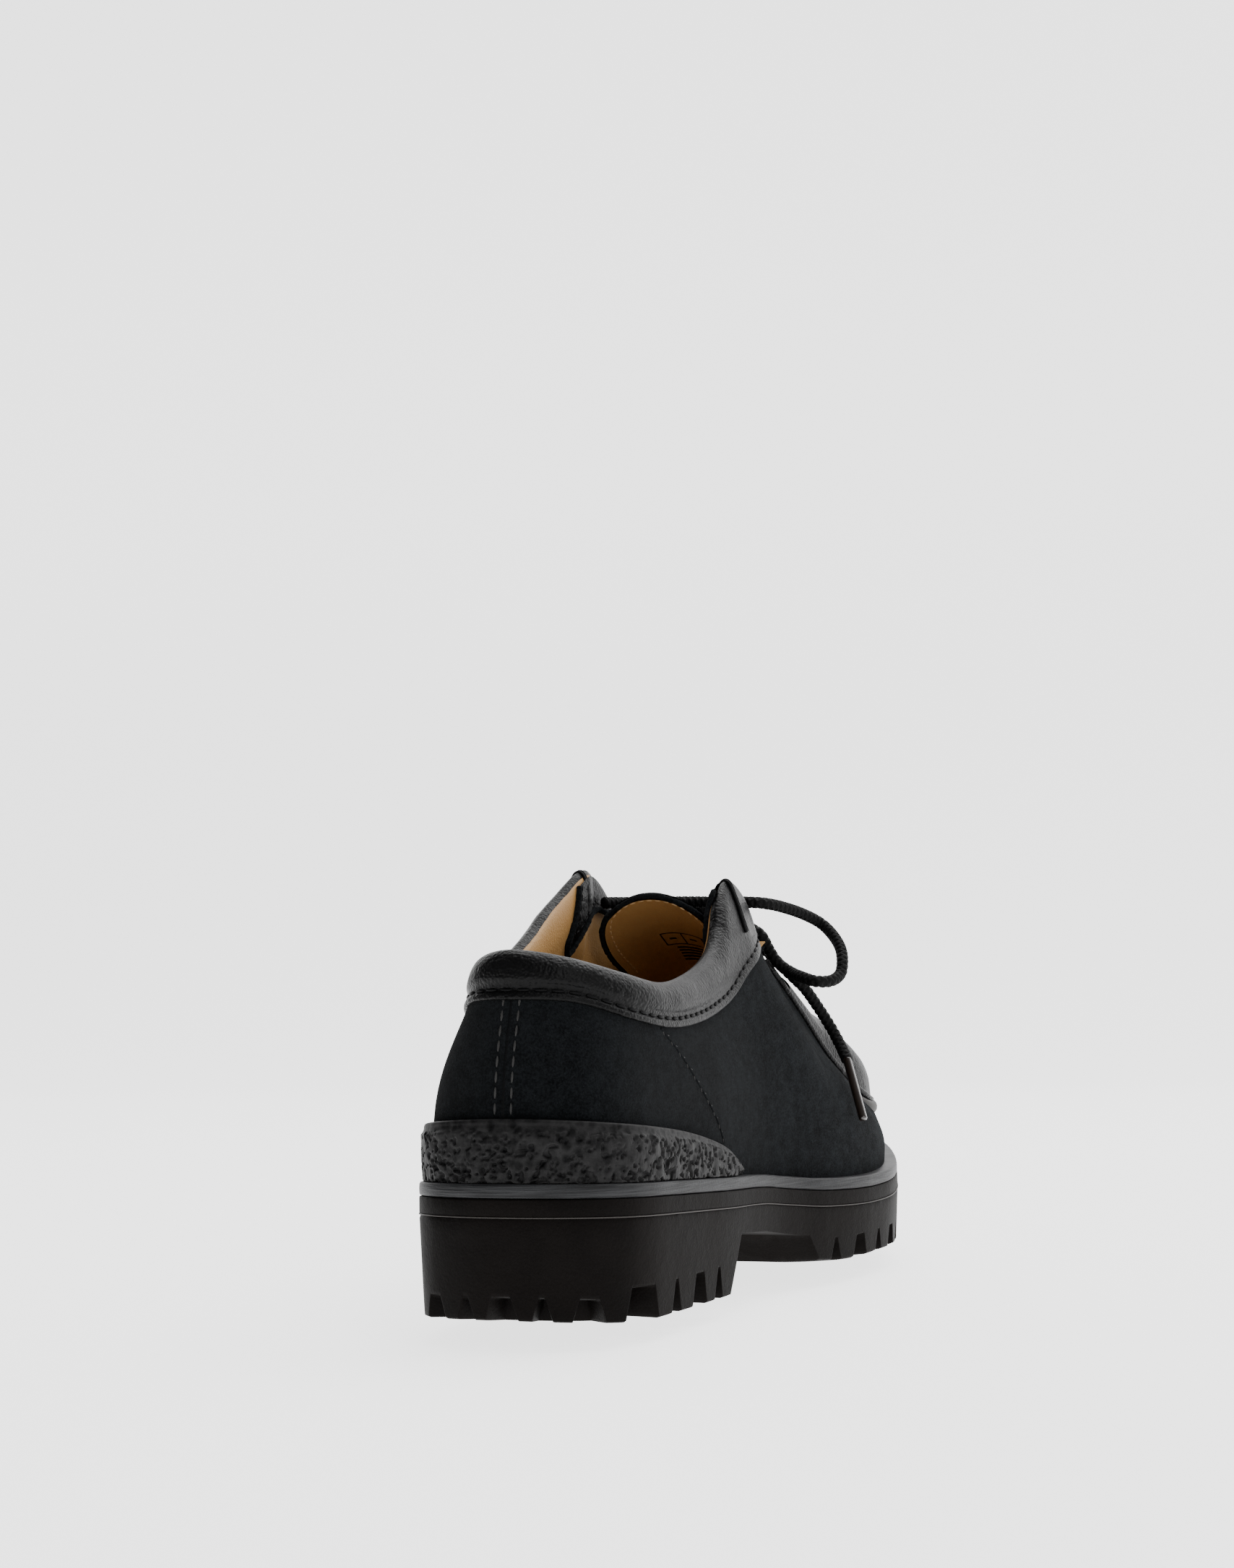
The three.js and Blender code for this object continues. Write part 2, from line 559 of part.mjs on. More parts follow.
function upperFoot(k) {
  const point = outlinePoint(ringValue(k, 'turn'), WELT_LEDGE);
  return vector(point.x, point.y, weltTop(point.y) + FIT_GAP);
}
function upperTop(k) {
  const y = ringValue(k, 'along') * LENGTH;
  const z = HEEL_HEIGHT + WELT_THICKNESS + ringValue(k, 'rise') * UPPER_RISE;
  return vector(ringValue(k, 'out') * UPPER_WIDTH, y, z);
}

// Outer face of the upper: it leans in between an upright foot and an upright top edge.
function upperPoint(k, v) {
  const foot = upperFoot(k);
  const top = upperTop(k);
  const lean = smooth(v) ** WALL_CURVE;
  const point = vector(mix(foot.x, top.x, lean), mix(foot.y, top.y, lean), mix(foot.z, top.z, v));
  const inward = outlineInward(ringValue(k, 'turn'));
  const bulge = WALL_BULGE * 4 * v * (1 - v);
  point.x -= inward.x * bulge;
  point.y -= inward.y * bulge;
  return point;
}
function upperNormal(k, v) {
  const dk = 0.02;
  const dv = 0.01;
  const low = Math.max(v - dv, 0);
  const high = Math.min(v + dv, 1);
  const round = upperPoint(k + dk, v).sub(upperPoint(k - dk, v));
  const up = upperPoint(k, high).sub(upperPoint(k, low));
  return round.cross(up).normalize();
}
const upperOffset = (k, v, offset) => upperPoint(k, v).addScaledVector(upperNormal(k, v), offset);

// Share of the wall's height at which the collar starts, and the upper's leather ends.
function collarStart(k) {
  const rise = upperTop(k).z - upperFoot(k).z;
  return 1 - Math.max(ringValue(k, 'band'), 0) * UPPER_RISE / rise;
}

// Tongue: a curved flap under the lace, with a round free end.
function tonguePoint(u, v) {
  const y = tableValue(TONGUE_ROWS, 'at', u, 'along') * LENGTH;
  const rise = tableValue(TONGUE_ROWS, 'at', u, 'rise') * UPPER_RISE;
  const half = tableValue(TONGUE_ROWS, 'at', u, 'width') * TONGUE_WIDTH / 2;
  const x = mix(-half, half, v);
  const drop = TONGUE_DROP * (2 * x / TONGUE_WIDTH) ** 2;
  return vector(x, y, HEEL_HEIGHT + WELT_THICKNESS + rise - drop);
}

// Height of the tongue's face at a place across and along.
function tongueTop(x, y) {
  let low = 0;
  let high = 1;
  for (let n = 0; n < 30; n += 1) {
    const middle = (low + high) / 2;
    if (tableValue(TONGUE_ROWS, 'at', middle, 'along') * LENGTH > y) low = middle;
    else high = middle;
  }
  const rise = tableValue(TONGUE_ROWS, 'at', low, 'rise') * UPPER_RISE;
  return HEEL_HEIGHT + WELT_THICKNESS + rise - TONGUE_DROP * (2 * x / TONGUE_WIDTH) ** 2;
}

// Eyelet tabs: below the collar the upper's edge turns in and lies on the tongue.
function tabReach(k) {
  const rows = k < TOE_INDEX ? k : RING - k - 1;
  return smooth((rows - TAB_START) / 0.6) * smooth((TAB_END - rows) / 0.8);
}
function tabPoints(k, rimPoint, offset) {
  const reach = tabReach(k);
  const side = Math.sign(rimPoint.x);
  return range(TAB_STEPS).slice(1).map((t) => {
    const x = mix(rimPoint.x, side * TAB_EDGE, t * reach);
    const over = tongueTop(x, rimPoint.y) + 2 * FIT_GAP + UPPER_WALL;
    const edge = vector(x, rimPoint.y, mix(rimPoint.z, over + offset, smooth(t * reach)));
    return reach > 0.02 ? edge : rimPoint.clone();
  });
}

// Row numbers of the upper's columns, closer together round the eyelet tabs.
const steps = [];
for (let k = 0; k < RING;) {
  steps.push(k);
  const rows = Math.min(k, RING - k - 1);
  k += rows > 9 && rows < 13.2 ? FINE_STEP : COARSE_STEP;
}
steps.push(RING);

function makeUpper() {
  const rows = 8;
  const wall = (offset) => steps.map((k) => {
    const start = collarStart(k);
    const end = start > 0.985 ? 1 : start - COLLAR_SEAT / (upperTop(k).z - upperFoot(k).z);
    const column = range(rows).map((j) => upperOffset(k, j * end, offset));
    return column.concat(tabPoints(k, column[rows], offset));
  });
  const outer = wall(0);
  const inner = wall(-UPPER_WALL);
  outer[outer.length - 1] = outer[0];
  inner[inner.length - 1] = inner[0];
  for (const column of inner) column[0].z = Math.max(column[0].z, weltTop(column[0].y) + FIT_GAP);
  const rim = (j) => outer.map((column, i) => [column[j], inner[i][j]]);
  return solidFromPatches([
    { grid: outer, flip: false },
    { grid: inner, flip: true },
    { grid: rim(rows + TAB_STEPS), flip: false },
    { grid: rim(0), flip: true },
  ]);
}

// Insole: a filler inside the welt, with the footbed on it that reaches to the upper's wall.
function makeInsole() {
  const inside = WELT_LEDGE + UPPER_WALL + 4 * FIT_GAP;
  const filler = WELT_WIDTH + FIT_GAP;
  return soleStack([
    { inset: filler, height: (x, y) => midsoleTop(y) + FIT_GAP },
    { inset: filler, height: (x, y) => weltTop(y) + FIT_GAP },
    { inset: inside, height: (x, y) => weltTop(y) + FIT_GAP },
    { inset: inside + INSOLE_DRAFT, height: (x, y) => weltTop(y) + FIT_GAP + INSOLE_THICKNESS },
  ], 2);
}

// Closed tube of sections: the first and the last section are capped.
function cappedSections(sections) {
  const closed = sections.map((section) => section.concat([section[0]]));
  const cap = (section) => {
    const middle = section.reduce((sum, p) => sum.add(p), vector(0, 0, 0)).divideScalar(section.length);
    return section.concat([section[0]]).map((p) => [p, middle]);
  };
  return solidFromPatches([
    { grid: closed, flip: false },
    { grid: cap(sections[0]), flip: false },
    { grid: cap(sections[sections.length - 1]), flip: true },
  ]);
}

// Crepe rand round the heel: it stands on the welt against the upper.
function makeHeelRand() {
  const last = RAND_ROWS[RAND_ROWS.length - 1].along;
  const reachOf = (sign) => {
    let k = 0;
    while (upperFoot(k + sign * 0.05).y < last * LENGTH) k += sign * 0.05;
    return k;
  };
  const from = reachOf(-1);
  const to = reachOf(1);
  const sections = range(RAND_STEPS).map((t) => {
    const k = mix(from, to, t);
    const foot = upperFoot(k);
    const rise = upperTop(k).z - foot.z;
    const height = RAND_HEIGHT * tableValue(RAND_ROWS, 'along', clamp(foot.y / LENGTH), 'height');
    const v = height / rise;
    return [
      upperOffset(k, 0, RAND_SEAT),
      upperOffset(k, 0, RAND_THICKNESS),
      upperOffset(k, 0.45 * v, RAND_THICKNESS + 0.3),
      upperOffset(k, 0.9 * v, RAND_THICKNESS - 0.1),
      upperOffset(k, v, RAND_THICKNESS - 1.1),
      upperOffset(k, v, RAND_SEAT),
    ].map((p) => p.setZ(Math.max(p.z, weltTop(p.y) + FIT_GAP)));
  });
  return cappedSections(sections);
}

// Padded collar: a roll of leather on the upper's top edge, thinner towards the eyestays.
// "up" is a share of the collar's band, "out" a share of its thickness from the upper's face.
const COLLAR_SECTION = [
  { up: 0, out: 0.07 },
  { up: 0.3, out: 0.22 },
  { up: 0.65, out: 0.2 },
  { up: 0.9, out: 0.02 },
  { up: 1, out: -0.32 },
  { up: 0.9, out: -0.68 },
  { up: 0.6, out: -0.8 },
  { up: 0.25, out: -0.7 },
  { up: 0, out: -0.45 },
];
function makeCollar() {
  const sections = range(COLLAR_STEPS).map((t) => {
    const k = mix(INNER_COLLAR_END, OUTER_COLLAR_END, t);
    const start = collarStart(k);
    const rowsLeft = Math.min(k - INNER_COLLAR_END, OUTER_COLLAR_END - k);
    const thin = mix(0.55, 1, smooth((rowsLeft - 1) / 3));
    return COLLAR_SECTION.map(({ up, out }) => (
      upperOffset(k, mix(start, 1, up), out * thin * COLLAR_THICKNESS)
    ));
  });
  return cappedSections(sections);
}

// Sheet of even thickness below a surface of two shares from 0 to 1.
function sheetSolid(surface, along, across, thickness) {
  const normal = (u, v) => {
    const step = 0.01;
    const round = surface(clamp(u + step), v).sub(surface(clamp(u - step), v));
    const side = surface(u, clamp(v + step)).sub(surface(u, clamp(v - step)));
    return round.cross(side).normalize();
  };
  const face = range(along).map((u) => range(across).map((v) => surface(u, v)));
  const back = range(along).map((u) => range(across).map((v) => (
    surface(u, v).addScaledVector(normal(u, v), -thickness)
  )));
  const edge = (i, j) => [face[i][j], back[i][j]];
  return solidFromPatches([
    { grid: face, flip: false },
    { grid: back, flip: true },
    { grid: face.map((row, i) => edge(i, 0)), flip: true },
    { grid: face.map((row, i) => edge(i, across)), flip: false },
    { grid: face[0].map((p, j) => edge(0, j)), flip: false },
    { grid: face[0].map((p, j) => edge(along, j)), flip: true },
  ]);
}

// Row number on one side at which the upper's top edge reaches a length.
function seamIndex(y, side) {
  let low = TOE_INDEX;
  let high = TOE_INDEX + side * (TOE_INDEX - OUTER_TIP);
  for (let n = 0; n < 30; n += 1) {
    const middle = (low + high) / 2;
    if (upperTop(middle).y > y) low = middle;
    else high = middle;
  }
  return low;
}

// Apron: a plug of leather laid on the upper's top edge, with a puffed roll along its seam.
function apronPoint(u, v) {
  const toe = upperTop(TOE_INDEX);
  const y = mix(APRON_START, toe.y - APRON_MARGIN, Math.sin(Math.PI / 2 * u));
  const outer = upperTop(seamIndex(y, -1));
  const inner = upperTop(seamIndex(y, 1));
  const share = (1 - Math.cos(Math.PI * v)) / 2;
  const point = inner.clone().lerp(outer, share);
  point.x = mix(inner.x + APRON_MARGIN, outer.x - APRON_MARGIN, share);
  if (u === 1) {
    point.copy(upperTop(mix(seamIndex(y, 1), seamIndex(y, -1), share)));
    point.y -= APRON_MARGIN;
  }
  const chord = outer.x - inner.x;
  const edge = Math.min(Math.min(share, 1 - share) * chord, (toe.y - y) * 0.9);
  const near = 1 - clamp(edge / ROLL_RADIUS);
  const shoulder = tableValue(APRON_ROWS, 'along', y / LENGTH, 'shoulder');
  const middle = tableValue(APRON_ROWS, 'along', y / LENGTH, 'middle');
  const roll = shoulder * Math.sqrt(1 - near * near);
  const crown = (middle - shoulder) * 4 * share * (1 - share);
  point.z += APRON_SEAT + APRON_THICKNESS + ROLL_HEIGHT * (roll + crown);
  return point;
}
function makeApron() {
  const face = range(APRON_STEPS).map((u) => range(APRON_STEPS).map((v) => apronPoint(u, v)));
  const back = face.map((row) => row.map((p) => vector(p.x, p.y, p.z - APRON_THICKNESS)));
  const edge = (i, j) => [face[i][j], back[i][j]];
  return solidFromPatches([
    { grid: face, flip: false },
    { grid: back, flip: true },
    { grid: face.map((row, i) => edge(i, 0)), flip: true },
    { grid: face.map((row, i) => edge(i, APRON_STEPS)), flip: false },
    { grid: face[0].map((p, j) => edge(0, j)), flip: false },
    { grid: face[0].map((p, j) => edge(APRON_STEPS, j)), flip: true },
  ]);
}

const makeTongue = () => sheetSolid(tonguePoint, 12, 8, TONGUE_THICKNESS);

// Round lace along a smooth route.
function cord(points, diameter, count) {
  const route = new THREE.CatmullRomCurve3(points.map((point) => vector(...point)));
  const shape = new THREE.Shape(range(8).slice(0, 8).map((t) => new THREE.Vector2(
    Math.cos(2 * Math.PI * t) * diameter / 2,
    Math.sin(2 * Math.PI * t) * diameter / 2,
  )));
  return new THREE.ExtrudeGeometry(shape, { steps: count, extrudePath: route, bevelEnabled: false });
}

// Crossing between a pair of eyelets: it ends inside them.
function makeCrossing(y) {
  const radius = LACE_DIAMETER / 2;
  const crest = tongueTop(0, y - radius) + FIT_GAP + radius;
  const foot = tongueTop(EYELET_OUT, y - radius) + 2 * FIT_GAP;
  const half = [
    [EYELET_OUT, y, foot],
    [EYELET_OUT, y, mix(foot, crest, 0.35)],
    [EYELET_OUT, y, mix(foot, crest, 0.7)],
    [0.9 * EYELET_OUT, y, mix(foot, crest, 0.94)],
    [0.7 * EYELET_OUT, y, crest + FIT_GAP],
    [0.37 * EYELET_OUT, y, crest + FIT_GAP],
  ];
  const other = half.map(([x, across, z]) => [-x, across, z]).reverse();
  return cord([...half, [0, y, crest + FIT_GAP], ...other], LACE_DIAMETER, 16);
}

// Knot of the bow as one rounded lump.
function makeKnot() {
  const from = vector(...KNOT_FROM);
  const to = vector(...KNOT_TO);
  const geometry = new THREE.CapsuleGeometry(KNOT_DIAMETER / 2, from.distanceTo(to), 3, 8);
  geometry.applyQuaternion(new THREE.Quaternion().setFromUnitVectors(
    vector(0, 1, 0),
    to.clone().sub(from).normalize(),
  ));
  const centre = from.add(to).divideScalar(2);
  return geometry.translate(centre.x, centre.y, centre.z);
}

// Stiff tip of a lace end: it starts just past the braid.
function makeAglet(route, tip) {
  const start = vector(...route[route.length - 1]);
  const end = vector(...tip);
  const gap = end.clone().sub(start).normalize().multiplyScalar(3 * FIT_GAP);
  start.add(gap);
  return cord([start.toArray(), end.toArray()], AGLET_DIAMETER, 1);
}

// Upper with a hole for the lace in each tab.
function makePunchedUpper() {
  const holes = [];
  for (const y of [LOWER_EYELETS, UPPER_EYELETS]) {
    for (const x of [-EYELET_OUT, EYELET_OUT]) {
      const hole = new THREE.CylinderGeometry(EYELET_DIAMETER / 2, EYELET_DIAMETER / 2, EYELET_DEPTH, 10);
      hole.rotateX(Math.PI / 2);
      holes.push(hole.translate(x, y, tongueTop(x, y)));
    }
  }
  return cut(makeUpper(), holes);
}

const mesh = (name, geometry, color, roughness) => {
  const flat = geometry.index ? geometry.toNonIndexed() : geometry;
  flat.computeVertexNormals();
  const object = new THREE.Mesh(flat, new THREE.MeshStandardMaterial({ color, roughness, metalness: 0 }));
  object.name = name;
  return object;
};

const shoe = new THREE.Group();
shoe.add(
  mesh('outsole', makeOutsole(), 0x241f1c, 0.8),
  mesh('midsole', makeMidsole(), 0x241f1c, 0.8),
  mesh('welt', makeWelt(), 0x595b5f, 0.6),
  mesh('insole', makeInsole(), 0x9a7a55, 0.9),
  mesh('upper', makePunchedUpper(), 0x1b2529, 0.95),
  mesh('heel_rand', makeHeelRand(), 0x3d4043, 0.85),
  mesh('collar', makeCollar(), 0x26282b, 0.5),
  mesh('apron', makeApron(), 0x242424, 0.5),
  mesh('tongue', makeTongue(), 0x1b2529, 0.9),
  mesh('lace_crossing_lower', makeCrossing(LOWER_EYELETS), 0x1a1a1b, 0.8),
  mesh('lace_crossing_upper', makeCrossing(UPPER_EYELETS), 0x1a1a1b, 0.8),
  mesh('lace_knot', makeKnot(), 0x1a1a1b, 0.8),
  mesh('lace_loop_outer', cord(OUTER_LOOP, LACE_DIAMETER, 34), 0x1a1a1b, 0.8),
  mesh('lace_loop_inner', cord(INNER_LOOP, LACE_DIAMETER, 26), 0x1a1a1b, 0.8),
  mesh('lace_end_outer', cord(OUTER_END, LACE_DIAMETER, 10), 0x1a1a1b, 0.8),
  mesh('lace_end_inner', cord(INNER_END, LACE_DIAMETER, 10), 0x1a1a1b, 0.8),
  mesh('aglet_outer', makeAglet(OUTER_END, OUTER_TIP_END), 0x111112, 0.25),
  mesh('aglet_inner', makeAglet(INNER_END, INNER_TIP_END), 0x111112, 0.25),
);
const reach = new THREE.Box3().setFromObject(shoe.getObjectByName('outsole'));
const centre = reach.getCenter(new THREE.Vector3());
shoe.position.set(-centre.x, -centre.y, 0);

export default shoe;
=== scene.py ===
"""Low lace-up shoe with a moccasin toe, for the right foot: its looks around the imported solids."""

import bpy
import numpy as np
from mathutils import Matrix


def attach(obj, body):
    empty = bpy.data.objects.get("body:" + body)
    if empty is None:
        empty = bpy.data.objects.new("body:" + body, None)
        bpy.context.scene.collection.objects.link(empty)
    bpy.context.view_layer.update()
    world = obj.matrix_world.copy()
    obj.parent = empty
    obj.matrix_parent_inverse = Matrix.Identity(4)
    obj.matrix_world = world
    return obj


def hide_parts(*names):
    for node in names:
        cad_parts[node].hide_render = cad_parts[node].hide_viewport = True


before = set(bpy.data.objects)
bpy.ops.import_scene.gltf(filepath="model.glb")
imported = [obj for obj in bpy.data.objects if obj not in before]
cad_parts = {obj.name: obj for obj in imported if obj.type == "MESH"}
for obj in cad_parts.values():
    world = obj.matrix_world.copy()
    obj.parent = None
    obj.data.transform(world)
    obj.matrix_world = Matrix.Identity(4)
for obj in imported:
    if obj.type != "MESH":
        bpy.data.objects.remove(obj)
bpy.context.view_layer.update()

# Outsole: the walking sole with its heel block, arch and lugs, moulded in dark brown rubber and
# cemented under the midsole. Lengths are millimetres: x to the outer side, y from the heel to the
# toe, z up. Each mesh is moved so that the sole's box is centred on the frame's origin.
MM = 0.001
LENGTH = 303
BALL_WIDTH = 113.4
HEEL_WIDTH = 77
HEEL_HEIGHT = 34.2
BALL_HEIGHT = 23.6
TOE_HEIGHT = 34.9
MIDSOLE_THICKNESS = 5
WAIST_START, WAIST_SHARE = 0.3, 0.3
WALL_DRAFT = 1.2
WALL_SHARES = (0, 0.02, 0.06, 0.2, 0.4, 0.6, 0.75, 0.86, 0.94, 0.985)
TOP_ROUND, TOP_ROUND_SHARE = 0.5, 0.05
FOOT_ROUND = 0.35
LEAST_WALL = 2
HEEL_LENGTH = 79
HEEL_BEVEL, HEEL_BEVEL_LENGTH = 2.2, 30
BREAST_SLOPE = 9
ARCH_HEIGHT = 17
ARCH_FALL = 6
ARCH_BEND_PLACE, ARCH_BEND_SHARE = 0.45, 0.3
FOREFOOT_START = 141
LUG_SLOPE = 7
SHANK_LIFT, SHANK_END = 3, 172
TOE_SPRING, SPRING_START, SPRING_CURVE = 14, 212, 1.8
EDGE_LIFT, EDGE_SHARE = 2, 0.25
SLOT_REACH = 11
SLOT_FLARE, SLOT_WALL = 1.4, 2.1
BORDER_REACHES = (WALL_DRAFT, 2, 3.5, 6, 9, SLOT_REACH, SLOT_REACH + 0.5, 16)
SPINE_FROM, SPINE_TO, SPINE_SHARE = 38, 262, 0.02
RUBBER_DARK, RUBBER_PALE = (0.0028, 0.0023, 0.0021), (0.0052, 0.0043, 0.0039)
# Side slots: turn round the outline, width and height. The forefoot's come at an even pitch.
SLOT_START, SLOT_PITCH, SLOT_COUNT = 1.6, 0.105, 14
SLOTS = [
    (0, 7, 6),
    (0.15, 3, 6),
    (0.31, 7, 6),
    (0.55, 12, 9),
    (0.75, 3, 9),
    (0.89, 7, 9),
    (1.0, 3, 9),
    *((SLOT_START + SLOT_PITCH * n, 7 if n % 2 else 3, 7) for n in range(SLOT_COUNT)),
]


def table(columns, *rows):
    """Rows of numbers as one array for each named column."""
    return dict(zip(columns.split(), np.array(rows, float).T))


def follow(rows, key, at, column):
    """Cubic between a table's rows, with each row's slope taken from its two neighbours."""
    x, y = rows[key], rows[column]
    at = np.asarray(at, float)
    last = len(x) - 1
    low, high = np.maximum(np.arange(last + 1) - 1, 0), np.minimum(np.arange(last + 1) + 1, last)
    slope = (y[high] - y[low]) / (x[high] - x[low])
    i = np.clip(np.searchsorted(x, at) - 1, 0, last - 1)
    span = x[i + 1] - x[i]
    t = (at - x[i]) / span
    return (
        y[i] * (2 * t**3 - 3 * t**2 + 1)
        + y[i + 1] * (3 * t**2 - 2 * t**3)
        + slope[i] * span * (t**3 - 2 * t**2 + t)
        + slope[i + 1] * span * (t**3 - t**2)
    )


def smooth(t):
    """Soft step from 0 to 1: three times t squared less twice t cubed."""
    t = np.clip(t, 0, 1)
    return t * t * (3 - 2 * t)


def mix(a, b, t):
    """A share t of the way from a to b."""
    return a + (b - a) * t


# Half-widths of the sole, as shares of the width there.
OUTLINE = table(
    "along outer inner",
    (0, 0, 0),
    (0.01, 0.201, 0.195),
    (0.026, 0.318, 0.312),
    (0.053, 0.408, 0.403),
    (0.086, 0.455, 0.445),
    (0.135, 0.481, 0.471),
    (0.2, 0.506, 0.487),
    (0.267, 0.526, 0.481),
    (0.333, 0.52, 0.46),
    (0.4, 0.484, 0.42),
    (0.449, 0.474, 0.405),
    (0.498, 0.481, 0.405),
    (0.548, 0.489, 0.421),
    (0.597, 0.501, 0.445),
    (0.663, 0.513, 0.476),
    (0.729, 0.49, 0.487),
    (0.795, 0.445, 0.472),
    (0.851, 0.393, 0.437),
    (0.9, 0.329, 0.379),
    (0.943, 0.247, 0.3),
    (0.973, 0.163, 0.22),
    (0.991, 0.075, 0.128),
    (1, -0.026, 0.026),
)
# Height of the midsole's top, as shares of what each end stands above the ball.
PROFILE = table(
    "along heel toe",
    (0, 1, 0),
    (0.135, 0.82, 0),
    (0.267, 0.63, 0),
    (0.366, 0.49, 0),
    (0.432, 0.29, 0),
    (0.498, 0.1, 0),
    (0.597, 0, 0),
    (0.696, 0, 0.07),
    (0.795, 0, 0.22),
    (0.894, 0, 0.53),
    (1, 0, 1),
)


def turn_of(along):
    """Angle round the outline at a share of the length: its cosine falls evenly, heel 0, toe pi."""
    return np.arccos(1 - 2 * np.clip(along, 0, 1))


def closed_outline():
    """The outline's x over the turn, out along one side and back, with rows more at each end."""
    along = OUTLINE["along"]
    width = mix(HEEL_WIDTH, BALL_WIDTH, smooth((along - WAIST_START) / WAIST_SHARE))
    turn = np.concatenate([turn_of(along), 2 * np.pi - turn_of(along[:-1])[::-1]])
    x = np.concatenate([OUTLINE["outer"] * width, (-OUTLINE["inner"] * width)[:-1][::-1]])
    turn = np.concatenate([turn[-4:-1] - 2 * np.pi, turn, turn[1:4] + 2 * np.pi])
    return {"turn": turn, "x": np.concatenate([x[-4:-1], x, x[1:4]])}


RIM = closed_outline()


def outline(turn, inset=0.0):
    """Point on the outline, moved inwards by an inset at right angles to the edge there."""
    turn = np.asarray(turn, float)
    x, y = follow(RIM, "turn", turn, "x"), LENGTH * (1 - np.cos(turn)) / 2
    dx = follow(RIM, "turn", turn + 0.01, "x") - follow(RIM, "turn", turn - 0.01, "x")
    dy = LENGTH * (np.cos(turn - 0.01) - np.cos(turn + 0.01)) / 2
    size = np.hypot(dx, dy)
    inward = np.stack([-dy / size, dx / size], -1)
    return np.stack([x, y], -1) + inward * np.asarray(inset)[..., None], inward


SIDES = outline(np.linspace(0, 2 * np.pi, 721))[0]
CENTRE = np.array([(SIDES[:, 0].max() + SIDES[:, 0].min()) / 2, LENGTH / 2, 0])


def midsole_top(y):
    """Height of the midsole's top: the ball's, and a share of what each end stands above it."""
    along = np.clip(np.asarray(y, float) / LENGTH, 0, 1)
    heel, toe = follow(PROFILE, "along", along, "heel"), follow(PROFILE, "along", along, "toe")
    return BALL_HEIGHT + heel * (HEEL_HEIGHT - BALL_HEIGHT) + toe * (TOE_HEIGHT - BALL_HEIGHT)


def shell(name, places, faces, material):
    """Smooth mesh from places in millimetres and faces with equal numbers of corners."""
    mesh = bpy.data.meshes.new(name)
    mesh.vertices.add(len(places))
    mesh.vertices.foreach_set("co", ((places - CENTRE) * MM).ravel())
    mesh.loops.add(faces.size)
    mesh.loops.foreach_set("vertex_index", faces.ravel())
    mesh.polygons.add(len(faces))
    mesh.polygons.foreach_set("loop_start", np.arange(len(faces)) * faces.shape[1])
    mesh.polygons.foreach_set("use_smooth", np.ones(len(faces), bool))
    mesh.update(calc_edges=True)
    mesh.materials.append(material)
    obj = bpy.data.objects.new(name, mesh)
    bpy.context.collection.objects.link(obj)
    return obj


def surface(name, points, material, uv=None, around=False, loop=False, flip=False):
    """A grid's points joined by squares; around closes its rows on the first, loop its columns."""
    rows, cols = points.shape[:2]
    wide, tall = rows - around, cols - loop
    i, j = np.arange(rows - 1)[:, None], np.arange(cols - 1)[None, :]
    corners = [(i, j), (i + 1, j), (i + 1, j + 1), (i, j + 1)]
    if flip:
        corners = corners[::-1]
    quads = np.stack([(a % wide) * tall + b % tall for a, b in corners], -1).reshape(-1, 4)
    obj = shell(name, points[:wide, :tall].reshape(-1, 3), quads, material)
    if uv is not None:
        spots = np.stack(np.broadcast_arrays(*[a * cols + b for a, b in corners]), -1).reshape(-1)
        layer = obj.data.uv_layers.new(name="UVMap")
        layer.data.foreach_set("uv", uv.reshape(-1, 2)[spots].ravel())
    return obj


def join_piece(obj, slot, *nodes):
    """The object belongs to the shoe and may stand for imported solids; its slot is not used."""
    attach(obj, "root")
    if nodes:
        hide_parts(*nodes)
    return obj


